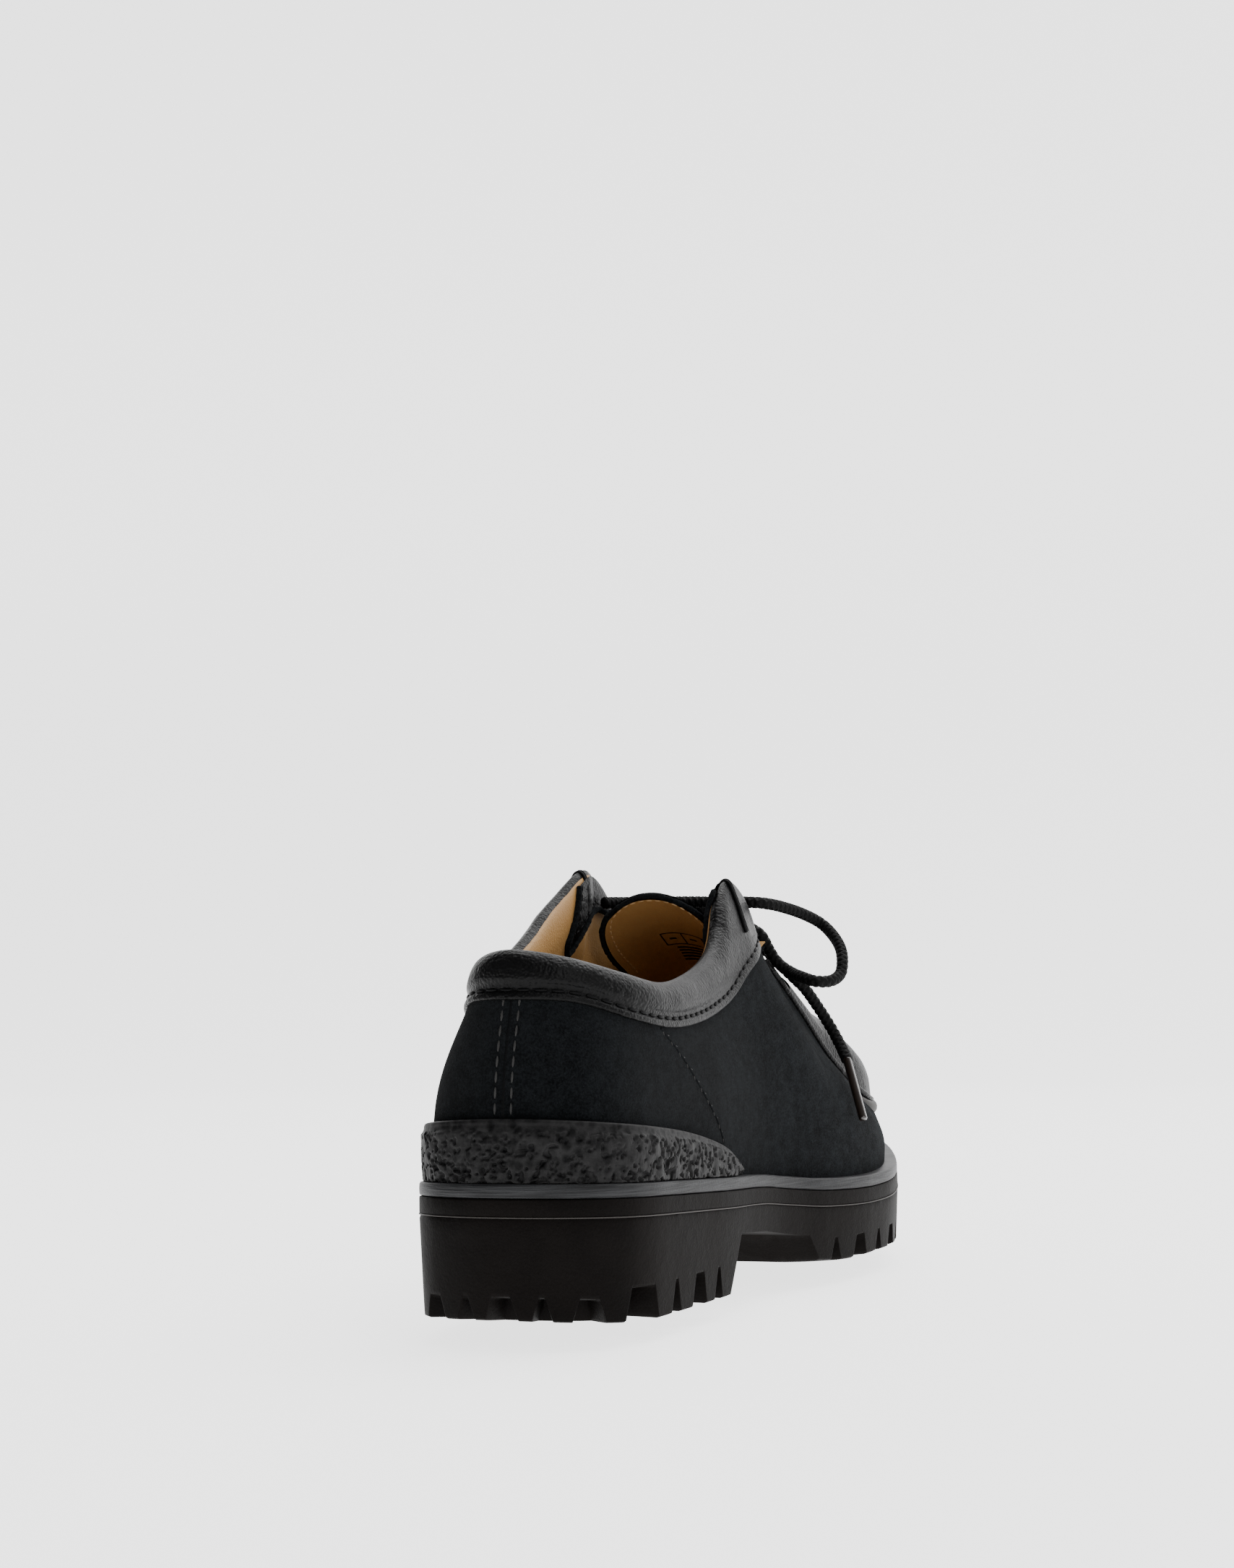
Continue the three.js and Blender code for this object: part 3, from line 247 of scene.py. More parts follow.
class Value:
    """A shader value; sums, differences and products of values add their Math nodes."""

    def __init__(self, tree, socket):
        self.tree, self.socket = tree, socket

    def node(self, kind, inputs, **settings):
        """New node: its settings first, then a link or a number for each socket."""
        made = self.tree.nodes.new(kind)
        for key, value in settings.items():
            setattr(made, key, value)
        for slot, value in inputs.items():
            if isinstance(value, Value):
                self.tree.links.new(value.socket, made.inputs[slot])
            else:
                made.inputs[slot].default_value = value
        return made

    def math(self, operation, first, second):
        """One Math node's result for two values or numbers."""
        made = self.node("ShaderNodeMath", {0: first, 1: second}, operation=operation)
        return Value(self.tree, made.outputs[0])

    def __add__(self, other):
        return self.math("ADD", self, other)

    def __radd__(self, other):
        return self.math("ADD", other, self)

    def __sub__(self, other):
        return self.math("SUBTRACT", self, other)

    def __rsub__(self, other):
        return self.math("SUBTRACT", other, self)

    def __mul__(self, other):
        return self.math("MULTIPLY", self, other)

    def __rmul__(self, other):
        return self.math("MULTIPLY", other, self)

    def step(self, low, high):
        """0 below low, 1 above high and soft between, or the other way round."""
        inputs = {0: self, 1: low, 2: high}
        made = self.node("ShaderNodeMapRange", inputs, interpolation_type="SMOOTHSTEP")
        return Value(self.tree, made.outputs[0])

    def noise(self, scale, detail=2.0, rough=0.5, stretch=None):
        """Cloudy noise over a place, which a stretch can draw out."""
        vector = self
        if stretch:
            made = self.node("ShaderNodeMapping", {0: self, 3: stretch})
            vector = Value(self.tree, made.outputs[0])
        inputs = {"Vector": vector, "Scale": scale, "Detail": detail, "Roughness": rough}
        made = self.node("ShaderNodeTexNoise", inputs)
        return Value(self.tree, made.outputs["Fac"])

    def cells(self, scale, feature="F1"):
        """Distance to the nearest of scattered points."""
        made = self.node("ShaderNodeTexVoronoi", {"Vector": self, "Scale": scale}, feature=feature)
        return Value(self.tree, made.outputs["Distance"])

    def part(self, axis):
        """One number of a place."""
        made = self.node("ShaderNodeSeparateXYZ", {0: self})
        return Value(self.tree, made.outputs[axis])

    def blend(self, low, high):
        """Colour from low at 0 to high at 1."""
        inputs = {0: self, 6: (*low, 1), 7: (*high, 1)}
        made = self.node("ShaderNodeMix", inputs, data_type="RGBA")
        return Value(self.tree, made.outputs[2])


class Finish:
    """A material with its place and UV values, to hang colour, roughness and bump on."""

    def __init__(self, name):
        self.material = bpy.data.materials.new(name)
        self.material.use_nodes = True
        self.tree = self.material.node_tree
        self.shader = self.tree.nodes["Principled BSDF"]
        places = self.tree.nodes.new("ShaderNodeTexCoord")
        self.place = Value(self.tree, places.outputs["Object"])
        self.uv = Value(self.tree, places.outputs["UV"])

    def set(self, slot, value):
        """Link, colour or number for one of the shader's sockets."""
        if isinstance(value, Value):
            self.tree.links.new(value.socket, self.shader.inputs[slot])
        elif isinstance(value, tuple):
            self.shader.inputs[slot].default_value = (*value, 1)
        else:
            self.shader.inputs[slot].default_value = value

    def bump(self, height):
        """Bump from a height in metres."""
        made = self.place.node("ShaderNodeBump", {"Height": height, "Distance": 1.0, "Strength": 1.0})
        self.tree.links.new(made.outputs[0], self.shader.inputs["Normal"])


def tread_bottom(x, y):
    """Walking surface: a heel bevel as a square, then shank, spring and edge lifts added up."""
    bevel = HEEL_BEVEL * np.maximum(1 - y / HEEL_BEVEL_LENGTH, 0) ** 2
    past = np.maximum(y - SPRING_START, 0) / (LENGTH - SPRING_START)
    spring = TOE_SPRING * past**SPRING_CURVE
    before = np.maximum(SHANK_END - y, 0) / (SHANK_END - FOREFOOT_START)
    shank = np.minimum(SHANK_LIFT * before**2, SHANK_LIFT)
    flat = EDGE_SHARE * BALL_WIDTH
    edge = EDGE_LIFT * np.clip((np.abs(x) - flat) / flat, 0, 1) ** 2
    return np.where(y < HEEL_LENGTH + BREAST_SLOPE, bevel, spring + shank + edge)


def arch_rise(y):
    """Height of the clear space under the arch: straight between its breast, bend and end."""
    breast, end = HEEL_LENGTH + BREAST_SLOPE, ARCH_HEIGHT - ARCH_FALL
    spots = [HEEL_LENGTH, breast, mix(breast, FOREFOOT_START, ARCH_BEND_PLACE), FOREFOOT_START]
    rises = [0, ARCH_HEIGHT, mix(ARCH_HEIGHT, end, ARCH_BEND_SHARE), end]
    return np.interp(y, [*spots, FOREFOOT_START + LUG_SLOPE], [*rises, 0], left=0, right=0)


def slot_depth(turn):
    """Height of the side slots over the turn: a flat roof whose two sides fall steeply."""
    edges, here = outline(turn)[0], np.zeros_like(turn)
    for at, width, height in SLOTS:
        for where in (at, 2 * np.pi - at):
            middle, inward = outline(np.array([where]))
            along = (edges - middle[0]) @ np.array([-inward[0, 1], inward[0, 0]])
            near = np.linalg.norm(edges - middle[0], axis=-1) < width * 2
            slope = np.clip((width / 2 + SLOT_FLARE - np.abs(along)) / SLOT_WALL, 0, 1)
            here = np.maximum(here, np.where(near, slope * height, 0))
    return here


def rubber():
    """Matt brown-black rubber in random paler and darker clouds, with a fine moulded grain."""
    made = Finish("sole rubber")
    grain = made.place.noise(1400, 3)
    cloud = made.place.noise(45, 3)
    tone = (cloud * 0.7 + grain * 0.3).step(0.3, 0.7)
    made.set("Base Color", tone.blend(RUBBER_DARK, RUBBER_PALE))
    made.set("Roughness", cloud * 0.15 + 0.5)
    made.set("Specular IOR Level", 0.03)
    made.bump(grain * 0.00012 + made.place.noise(300, 2) * 0.00015)
    return made.material


def outsole(material):
    """Grid of turns by rows: down the wall by shares of its height, then inwards over the tread."""
    turn = np.linspace(0, 2 * np.pi, 1801)
    edge, inward = outline(turn)
    top = midsole_top(edge[:, 1]) - MIDSOLE_THICKNESS
    slots = slot_depth(turn)
    floor = tread_bottom(edge[:, 0], edge[:, 1])
    low = np.maximum(floor, arch_rise(edge[:, 1]))
    low = np.minimum(low + slots * (low - floor < LEAST_WALL), top - LEAST_WALL)
    columns = []
    for share in WALL_SHARES:
        inset = TOP_ROUND * (1 - smooth(share / TOP_ROUND_SHARE)) + WALL_DRAFT * share * (top - low) / top
        columns.append(np.column_stack([edge + inward * inset[:, None], mix(top, low, share)]))
    for reach in BORDER_REACHES:
        spot = edge + inward * reach
        floor = tread_bottom(spot[:, 0], spot[:, 1])
        rise = np.maximum(floor, arch_rise(spot[:, 1]))
        cut = slots * (reach <= SLOT_REACH) * (rise - floor < LEAST_WALL)
        rise = rise + cut + FOOT_ROUND * (reach == WALL_DRAFT)
        columns.append(np.column_stack([spot, np.minimum(rise, top - LEAST_WALL)]))
    border = edge + inward * BORDER_REACHES[-1]
    spine = np.column_stack([edge[:, 0] * SPINE_SHARE, np.clip(edge[:, 1], SPINE_FROM, SPINE_TO)])
    for share in (0.5, 1):
        spot = mix(border, spine, share)
        rise = np.maximum(tread_bottom(spot[:, 0], spot[:, 1]), arch_rise(spot[:, 1]))
        columns.append(np.column_stack([spot, rise]))
    grid = np.stack(columns, 1)
    return join_piece(surface("outsole", grid, material, around=True), "rubber_sole", "outsole")


sole_rubber = rubber()
outsole(sole_rubber)


# Midsole: a band of the same brown rubber with softened edges, cemented on the outsole. A fine
# flash of rubber stands where the two meet.
MIDSOLE_EDGE = ((0.7, 0), (0.12, 0.04), (0, 0.12), (0, 0.5), (0, 0.88), (0.12, 0.96), (0.7, 1))
MIDSOLE_COVER = 30
FLASH_RADIUS = 0.2
FLASH_GREY = (0.035, 0.032, 0.03)


def midsole(material):
    """Profile of insets and height shares carried round the outline, its top run inwards."""
    edge, inward = outline(np.linspace(0, 2 * np.pi, 1201))
    top = midsole_top(edge[:, 1])
    grid = [
        np.column_stack([edge + inward * inset, top - MIDSOLE_THICKNESS * (1 - share)])
        for inset, share in (*MIDSOLE_EDGE, (MIDSOLE_COVER, 1))
    ]
    band = surface("midsole", np.stack(grid, 1), material, around=True, flip=True)
    return join_piece(band, "rubber_sole", "midsole")


def unit(vectors):
    """Vectors divided by their own lengths."""
    return vectors / np.maximum(np.linalg.norm(vectors, axis=-1, keepdims=True), 1e-9)


def tube(path, radius, sides):
    """Circles carried along a path, each turned from the last as little as can be, ends closed."""
    ahead = unit(np.gradient(path, axis=0))
    side = [unit(np.cross(ahead[0], [0.3, 0.2, 1.0]))]
    for direction in ahead[1:]:
        side.append(unit(side[-1] - direction * (side[-1] @ direction)))
    side = np.array(side)
    other = np.cross(ahead, side)
    angle = np.linspace(0, 2 * np.pi, sides + 1)
    radius = np.asarray(radius, float)
    if radius.ndim < 2:
        radius = radius.reshape(-1, 1)
    circle = side[:, None] * np.cos(angle)[None, :, None]
    circle = circle + other[:, None] * np.sin(angle)[None, :, None]
    grid = path[:, None] + radius[..., None] * circle
    ends = [np.repeat(path[None, [n]], sides + 1, 1) for n in (0, -1)]
    return np.concatenate([ends[0], grid, ends[1]])


def plain(name, colour, roughness, specular=0.3, grain=0.0):
    """Even finish: its colour varies by a quarter in fine clouds, and a grain can raise them."""
    made = Finish(name)
    cloud = made.place.noise(700, 2)
    dark, pale = (tuple(share * c for c in colour) for share in (0.75, 1.25))
    made.set("Base Color", cloud.blend(dark, pale))
    made.set("Roughness", roughness)
    made.set("Specular IOR Level", specular)
    made.bump(cloud * (grain * MM))
    return made.material


def parting_line(material):
    """Thin tube along the outline at the midsole's underside."""
    edge = outline(np.linspace(0, 2 * np.pi, 1200, endpoint=False))[0]
    path = np.column_stack([edge, midsole_top(edge[:, 1]) - MIDSOLE_THICKNESS])
    grid = tube(np.concatenate([path, path[:2]]), FLASH_RADIUS, 6)
    return join_piece(surface("parting_line", grid, material, loop=True), "rubber_sole")


midsole(sole_rubber)
parting_line(plain("rubber flash", FLASH_GREY, 0.5, 0.1))


# Welt: a strip of mid-grey rubber, fluted along its rounded edge, cemented on the midsole. The
# upper is closed onto its inner part.
WELT_THICKNESS = 3.9
WELT_SEAT = 0.05
WELT_EDGE = (
    (0.9, 0),
    (0.25, 0.05),
    (0.05, 0.16),
    (0, 0.5),
    (0.08, 0.82),
    (0.35, 0.95),
    (0.9, 1),
    (12.5, 1),
)
WELT_DARK, WELT_PALE = (0.01, 0.0102, 0.0107), (0.03, 0.0305, 0.032)
FLUTE_STRETCH = (0.06, 0.06, 1.6)


def welt_top(y):
    """Height of the welt's top: the midsole's and its own thickness."""
    return midsole_top(y) + WELT_THICKNESS


def welt_finish():
    """Grey rubber with faint long flutes and scuffs."""
    made = Finish("welt")
    flutes = made.place.noise(900, 2, stretch=FLUTE_STRETCH)
    cloud = made.place.noise(60, 3)
    tone = (flutes * 0.6 + cloud * 0.4).step(0.3, 0.7)
    made.set("Base Color", tone.blend(WELT_DARK, WELT_PALE))
    made.set("Roughness", 0.45)
    made.set("Specular IOR Level", 0.08)
    made.bump(flutes * 0.0004 + made.place.noise(1500, 2) * 0.00008)
    return made.material


def welt(material):
    """Profile of insets and height shares carried round the outline."""
    edge, inward = outline(np.linspace(0, 2 * np.pi, 1201))
    low = midsole_top(edge[:, 1]) + WELT_SEAT
    grid = [
        np.column_stack([edge + inward * inset, low + (WELT_THICKNESS - WELT_SEAT) * share])
        for inset, share in WELT_EDGE
    ]
    strip = surface("welt", np.stack(grid, 1), material, around=True, flip=True)
    return join_piece(strip, "welt", "welt")


welt(welt_finish())


# Upper: vamp and quarters in blue-black suede with a fine nap, one wall from the welt to the
# collar and the moccasin seam, cemented on the welt. Its two eyelet tabs lie on the tongue.
WELT_LEDGE = 4.4
UPPER_RISE = 87
UPPER_WIDTH = 60
UPPER_WALL = 2.2
UPPER_SEAT = 0.3
WALL_BULGE = 0.6
WALL_CURVE = 2
RIM_ABOVE = 2
NO_COLLAR = 0.985
TONGUE_WIDTH = 45
TONGUE_DROP = 10
TAB_EDGE = 14
TAB_START, TAB_END = 10.2, 12.7
TAB_START_FADE, TAB_END_FADE = 0.6, 0.8
TAB_GAP = 0.6
SUEDE_DARK, SUEDE_PALE = (0.0011, 0.0013, 0.0015), (0.0138, 0.016, 0.018)
TONGUE = table(
    "at along rise width",
    (0, 0.67, 0.514, 0.84),
    (0.2, 0.6, 0.638, 0.9),
    (0.45, 0.53, 0.77, 0.96),
    (0.7, 0.465, 0.872, 0.98),
    (0.88, 0.425, 0.94, 0.82),
    (0.97, 0.413, 0.958, 0.44),
    (1, 0.41, 0.962, 0.16),
)
# The wall's rows: where it stands on the welt (foot), where its top edge is (along, out, rise) and
# the collar's depth there (band). Outer side from the heel to the toe, then the inner side.
OUTER = (
    (0, 0.046, 0, 0.726, 0.158),
    (0.03, 0.062, 0.242, 0.698, 0.144),
    (0.1, 0.109, 0.428, 0.648, 0.15),
    (0.182, 0.178, 0.495, 0.617, 0.149),
    (0.27, 0.261, 0.492, 0.653, 0.167),
    (0.345, 0.337, 0.472, 0.722, 0.19),
    (0.4, 0.377, 0.452, 0.812, 0.23),
    (0.445, 0.408, 0.42, 0.938, 0.29),
    (0.482, 0.446, 0.403, 1.006, 0.302),
    (0.512, 0.491, 0.417, 0.94, 0.19),
    (0.534, 0.512, 0.433, 0.83, 0.07),
    (0.555, 0.53, 0.442, 0.722, 0),
    (0.597, 0.577, 0.466, 0.628, 0),
    (0.645, 0.637, 0.505, 0.498, 0),
    (0.694, 0.701, 0.552, 0.343, 0),
    (0.745, 0.762, 0.615, 0.212, 0),
    (0.805, 0.818, 0.65, 0.135, 0),
    (0.865, 0.871, 0.59, 0.118, 0),
    (0.93, 0.918, 0.4, 0.121, 0),
    (0.98, 0.943, 0.155, 0.13, 0),
)
TOE = (1, 0.948, -0.045, 0.135, 0)
INNER = (
    (0.03, 0.06, 0.19, 0.716, 0.155),
    (0.1, 0.109, 0.312, 0.684, 0.168),
    (0.182, 0.178, 0.42, 0.678, 0.172),
    (0.25, 0.24, 0.491, 0.725, 0.18),
    (0.31, 0.292, 0.49, 0.809, 0.19),
    (0.355, 0.332, 0.486, 0.893, 0.2),
    (0.4, 0.372, 0.473, 0.968, 0.212),
    (0.445, 0.408, 0.445, 1.042, 0.25),
    (0.482, 0.438, 0.418, 1.055, 0.262),
    (0.512, 0.485, 0.417, 0.962, 0.16),
    (0.534, 0.51, 0.433, 0.86, 0.06),
    (0.555, 0.53, 0.442, 0.735, 0),
    (0.597, 0.577, 0.466, 0.638, 0),
    (0.645, 0.637, 0.505, 0.503, 0),
    (0.694, 0.701, 0.552, 0.35, 0),
    (0.745, 0.762, 0.62, 0.22, 0),
    (0.805, 0.818, 0.675, 0.14, 0),
    (0.865, 0.871, 0.655, 0.121, 0),
    (0.93, 0.918, 0.48, 0.121, 0),
    (0.98, 0.943, 0.245, 0.13, 0),
)
TOE_ROW = len(OUTER)
RING = len(OUTER) + 1 + len(INNER)


def closed_ring():
    """The upper's rows as one ring, with a few rows more at each end."""
    data = np.array([*OUTER, TOE, *INNER[::-1]], float)
    data[TOE_ROW + 1 :, 2] *= -1
    turn = turn_of(data[:, 0])
    turn[TOE_ROW + 1 :] = 2 * np.pi - turn[TOE_ROW + 1 :]
    k = np.arange(-3, RING + 4)
    rows = data[k % RING]
    return {
        "k": k.astype(float),
        "turn": turn[k % RING] + (k // RING) * 2 * np.pi,
        "along": rows[:, 1],
        "out": rows[:, 2],
        "rise": rows[:, 3],
        "band": rows[:, 4],
    }


WALL = closed_ring()


def ring(k, column):
    """A value of the wall's rows at a row number, taken round and round."""
    return follow(WALL, "k", np.asarray(k, float) % RING, column)


def upper_foot(k):
    """Foot of the wall: the sole's outline set in by the welt's ledge, on the welt's top."""
    point = outline(ring(k, "turn"), np.full(np.shape(k), WELT_LEDGE))[0]
    return np.stack([point[..., 0], point[..., 1], welt_top(point[..., 1]) + UPPER_SEAT], -1)


def upper_top(k):
    """Top edge of the wall: the rows' shares of the upper's width, length and rise."""
    z = HEEL_HEIGHT + WELT_THICKNESS + ring(k, "rise") * UPPER_RISE
    return np.stack([ring(k, "out") * UPPER_WIDTH, ring(k, "along") * LENGTH, z], -1)


def upper_point(k, v):
    """Wall from foot to top edge: it leans in by the soft step squared, with a slight bulge out."""
    k, v = np.broadcast_arrays(np.asarray(k, float), np.asarray(v, float))
    foot, top = upper_foot(k), upper_top(k)
    lean = smooth(v) ** WALL_CURVE
    point = foot + (top - foot) * np.stack([lean, lean, v], -1)
    inward = outline(ring(k, "turn"))[1]
    bulge = WALL_BULGE * 4 * v * (1 - v)
    point[..., :2] -= inward * bulge[..., None]
    return point


def upper_normal(k, v):
    """Outward direction: across the wall's steps round the ring and up it."""
    low, high = np.maximum(v - 0.01, 0), np.minimum(v + 0.01, 1)
    around = upper_point(k + 0.02, v) - upper_point(k - 0.02, v)
    up = upper_point(k, high) - upper_point(k, low)
    return unit(np.cross(around, up))


def upper_offset(k, v, offset):
    """Wall moved out by an offset along its outward direction."""
    k, v, offset = (np.asarray(value, float) for value in (k, v, offset))
    k, v, offset = np.broadcast_arrays(k, v, offset)
    return upper_point(k, v) + upper_normal(k, v) * offset[..., None]


def wall_height(k):
    """Height of the wall: its top edge's less its foot's."""
    return upper_top(k)[..., 2] - upper_foot(k)[..., 2]


def collar_start(k):
    """Share of the wall's height left under the collar's band."""
    return 1 - np.maximum(ring(k, "band"), 0) * UPPER_RISE / wall_height(k)


def tongue_face(x, at):
    """Point of the tongue's face: its middle line, lowered by the square of x."""
    z = HEEL_HEIGHT + WELT_THICKNESS + follow(TONGUE, "at", at, "rise") * UPPER_RISE
    along = follow(TONGUE, "at", at, "along") * LENGTH
    return np.stack([x, along, z - TONGUE_DROP * (2 * x / TONGUE_WIDTH) ** 2], -1)


def tongue_top(x, y):
    """Height of the tongue's face at x and y, its row found from y."""
    fine = np.linspace(0, 1, 400)
    along = follow(TONGUE, "at", fine, "along") * LENGTH
    at = np.interp(-np.asarray(y, float), -along, fine)
    x, at = np.broadcast_arrays(np.asarray(x, float), at)
    return tongue_face(x, at)[..., 2]


def suede(name, low, high):
    """Suede: fuzz, patches and clouds added up, with painted light making it bluer and paler to the
    front.
    """
    made = Finish(name)
    fuzz = made.place.noise(1500, 4, 0.75)
    patch = made.place.noise(260, 4, 0.6)
    cloud = made.place.noise(38, 3)
    tone = fuzz * 0.6 + patch * 0.25 + cloud * 0.15
    # Painted light: the colour is paler and bluer to the front and darker to the back, where the lamps
    # light it less.
    painted_front_light = made.place.part(1).step(-0.12, 0.08)
    made.set("Base Color", (tone.step(0.36, 0.66) * (painted_front_light * 0.5 + 0.5)).blend(low, high))
    made.set("Roughness", 0.95)
    made.set("Specular IOR Level", 0.01)
    made.set("Sheen Weight", 0.02)
    made.set("Sheen Roughness", 0.6)
    made.bump(fuzz * 0.00035 + patch * 0.0003 + cloud * 0.0006)
    return made.material


def upper(material):
    """Wall's rows up to its rim, on over the tabs and back under them, and down the inside."""
    k = np.linspace(0, RING, 1401)
    rows = np.minimum(k, RING - k - 1)
    start = collar_start(k)
    end = np.where(start > NO_COLLAR, 1, start + RIM_ABOVE / wall_height(k))
    v = np.linspace(0, 1, 44)[None, :] * end[:, None]
    v[:, 0] = -UPPER_SEAT / wall_height(k)
    grid = upper_offset(k[:, None], v, 0)
    rim = grid[:, -1]
    reach = smooth((rows - TAB_START) / TAB_START_FADE) * smooth((TAB_END - rows) / TAB_END_FADE)
    side = np.where(rim[:, 0] > 0, 1, -1)
    tabs, under = [], []
    for t in np.linspace(0, 1, 9)[1:]:
        x = mix(rim[:, 0], side * TAB_EDGE, t * reach)
        over = tongue_top(x, rim[:, 1]) + UPPER_WALL + TAB_GAP
        z = mix(rim[:, 2], over, smooth(t * reach))
        tabs.append(np.column_stack([x, rim[:, 1], z]))
        under.append(np.column_stack([x, rim[:, 1], z - UPPER_WALL]))
    shares = np.array([1, 0.93, 0.86])[None] * end[:, None]
    inside = upper_offset(k[:, None], shares, -UPPER_WALL)
    inside[:, :, 2] = np.minimum(inside[:, :, 2], rim[:, None, 2] - 0.1)
    grid = np.concatenate([grid, np.stack(tabs, 1), np.stack(under, 1)[:, ::-1], inside], 1)
    return join_piece(surface("upper", grid, material, around=True), "suede", "upper")


blue_suede = suede("blue-black suede", SUEDE_DARK, SUEDE_PALE)
upper(blue_suede)


# Lining and insole: tan leather glued inside the upper up to the collar, and the footbed on the
# welt, covered with the same leather.
LINING_GAP = 0.15
LINING_FROM, LINING_TOP = 0.02, 0.97
LINING_ABOVE = 3
INSOLE_INSET = 7.4
INSOLE_RISE, INSOLE_DIP = 4.3, 0.8
INSOLE_SPINE = (34, 268)
TAN_DARK, TAN_PALE = (0.27, 0.13, 0.036), (0.43, 0.25, 0.082)


def tan_leather():
    """Tan leather in soft clouds, with a fine pebble."""
    made = Finish("tan lining")
    grain = made.place.cells(1500)
    cloud = made.place.noise(50, 3)
    made.set("Base Color", cloud.blend(TAN_DARK, TAN_PALE))
    made.set("Roughness", 0.6)
    made.bump(grain * 0.00008 + cloud * 0.0003)
    return made.material


def lining(material):
    """The wall moved in by its thickness, from the insole to a little above the collar's start."""
    k = np.linspace(0, RING, 601)
    start = collar_start(k)
    end = np.where(start > NO_COLLAR, LINING_TOP, start + LINING_ABOVE / wall_height(k))
    v = np.linspace(LINING_FROM, 1, 24)[None, :] * end[:, None]
    grid = upper_offset(k[:, None], v, -UPPER_WALL - LINING_GAP)
    return join_piece(surface("lining", grid, material, around=True, flip=True), "lining")


def insole(material):
    """Rows from the inset outline to the middle line, sunk softly on the way."""
    edge, inward = outline(np.linspace(0, 2 * np.pi, 401))
    spine = np.column_stack([np.zeros(401), np.clip(edge[:, 1], *INSOLE_SPINE)])
    grid = []
    for share in np.linspace(0, 1, 9):
        spot = mix(edge + inward * INSOLE_INSET, spine, share)
        z = welt_top(spot[:, 1]) + INSOLE_RISE - INSOLE_DIP * smooth(share)
        grid.append(np.column_stack([spot, z]))
    footbed = surface("insole", np.stack(grid, 1), material, around=True)
    return join_piece(footbed, "lining", "insole")


tan = tan_leather()
lining(tan)
insole(tan)


# Heel rand: a strip of dark grey crepe rubber wrapped round the heel and cemented over the
# upper's foot. It has deep pits below a smooth lip, and falls away at its two front ends.
RAND_HEIGHT = 17.5
RAND_REACH = 8
RAND_END, RAND_FADE, RAND_LEAST = 0.313, 0.012, 0.3
RAND_PROFILE_HEIGHT = 17
RAND_LIP, RAND_LIP_EDGE = 0.86, 0.06
RAND_SINK = 0.2
PIT_COARSE, PIT_FINE, PIT_LEVEL, PIT_WALL = 1.5, 0.8, 0.5, 0.16
PIT_DEPTH_LOW, PIT_DEPTH_HIGH = 1.0, 0.4
LUMP_SIZE, LUMP_HEIGHT, LUMP_SINK = 3.2, 0.7, 0.1
CREPE_DARK, CREPE_PALE = (0.0015, 0.0015, 0.0016), (0.0155, 0.0152, 0.0154)
RAND = table(
    "along height",
    (0, 1),
    (0.053, 0.91),
    (0.17, 0.76),
    (0.25, 0.55),
    (0.29, 0.33),
    (0.311, 0.08),
)
# Section of the strip: height share and how far it stands off the wall.
RAND_SECTION = (
    (0, 0.2),
    (0, 2.9),
    (0.1, 3.2),
    (0.3, 3.4),
    (0.55, 3.5),
    (0.78, 3.4),
    (0.85, 3.0),
    (0.9, 2.75),
    (0.95, 2.7),
    (0.985, 2.4),
    (1, 1.6),
    (1, 0.0),
)


def travelled(path):
    """Distance along a path up to each of its points."""
    return np.concatenate([[0], np.cumsum(np.linalg.norm(np.diff(path, axis=0), axis=1))])


def curve_through(points, count):
    """Cubic through points, its parameter grown by the root of each gap, then cut evenly."""
    points = np.asarray(points, float)
    gaps = np.sqrt(np.linalg.norm(np.diff(points, axis=0), axis=1))
    knots = np.concatenate([[0], np.cumsum(gaps)])
    columns = range(points.shape[1])
    rows = {"t": knots, **{str(n): points[:, n] for n in columns}}
    fine = np.linspace(0, knots[-1], 40 * len(points))
    path = np.stack([follow(rows, "t", fine, str(n)) for n in columns], -1)
    far = travelled(path)
    even = np.linspace(0, far[-1], count)
    return np.stack([np.interp(even, far, path[:, n]) for n in columns], -1)


def lengths(points):
    """UV map in millimetres: distance gone along each direction of a grid."""
    u = np.linalg.norm(np.diff(points, axis=0), axis=-1).mean(1)
    v = np.linalg.norm(np.diff(points, axis=1), axis=-1)
    u = np.concatenate([[0], np.cumsum(u)])
    v = np.concatenate([np.zeros((len(points), 1)), np.cumsum(v, 1)], 1)
    return np.stack([np.broadcast_to(u[:, None], v.shape), v], -1)


def value_noise(points, size, seed):
    """Smooth noise from 0 to 1: numbers hashed from a lattice's corners, blended by soft steps."""
    place = points / size
    cell = np.floor(place).astype(np.int64)
    t = smooth(place - cell)
    total = 0.0
    for corner in np.ndindex(2, 2, 2):
        at = (cell + corner) * (73856093, 19349663, 83492791)
        mixed = at[..., 0] ^ at[..., 1] ^ at[..., 2] ^ (seed * 2654435761)
        mixed = (mixed ^ (mixed >> 13)) * 1274126177 & 0x7FFFFFFF
        weight = np.prod(np.where(corner, t, 1 - t), axis=-1)
        total = total + weight * ((mixed >> 7) % 4096) / 4095
    return total


def crepe():
    """Dark grey crepe: lumps, fine grain and pits added up, their relief stronger low down; the colour is
    darker where the relief is low, most in the pits, as painted shade.
    """
    made = Finish("crepe")
    low = made.uv.part(1).step(13.0, 2.0)
    pits = made.place.cells(330).step(0.15, 0.62)
    fine = made.place.noise(900, 3, 0.6)
    lump = made.place.noise(420, 3, 0.6)
    relief = pits * 0.0003 + lump * 0.0004 + fine * 0.0002
    # Painted shade: the colour follows the relief, darker in the pits and hollows.
    tone = (lump * 0.5 + fine * 0.3 + pits * 0.2).step(0.3, 0.75)
    made.set("Base Color", tone.blend(CREPE_DARK, CREPE_PALE))
    made.set("Roughness", 0.5)
    made.set("Specular IOR Level", 0.07)
    made.bump(relief * (low * 0.4 + 0.25))
    return made.material


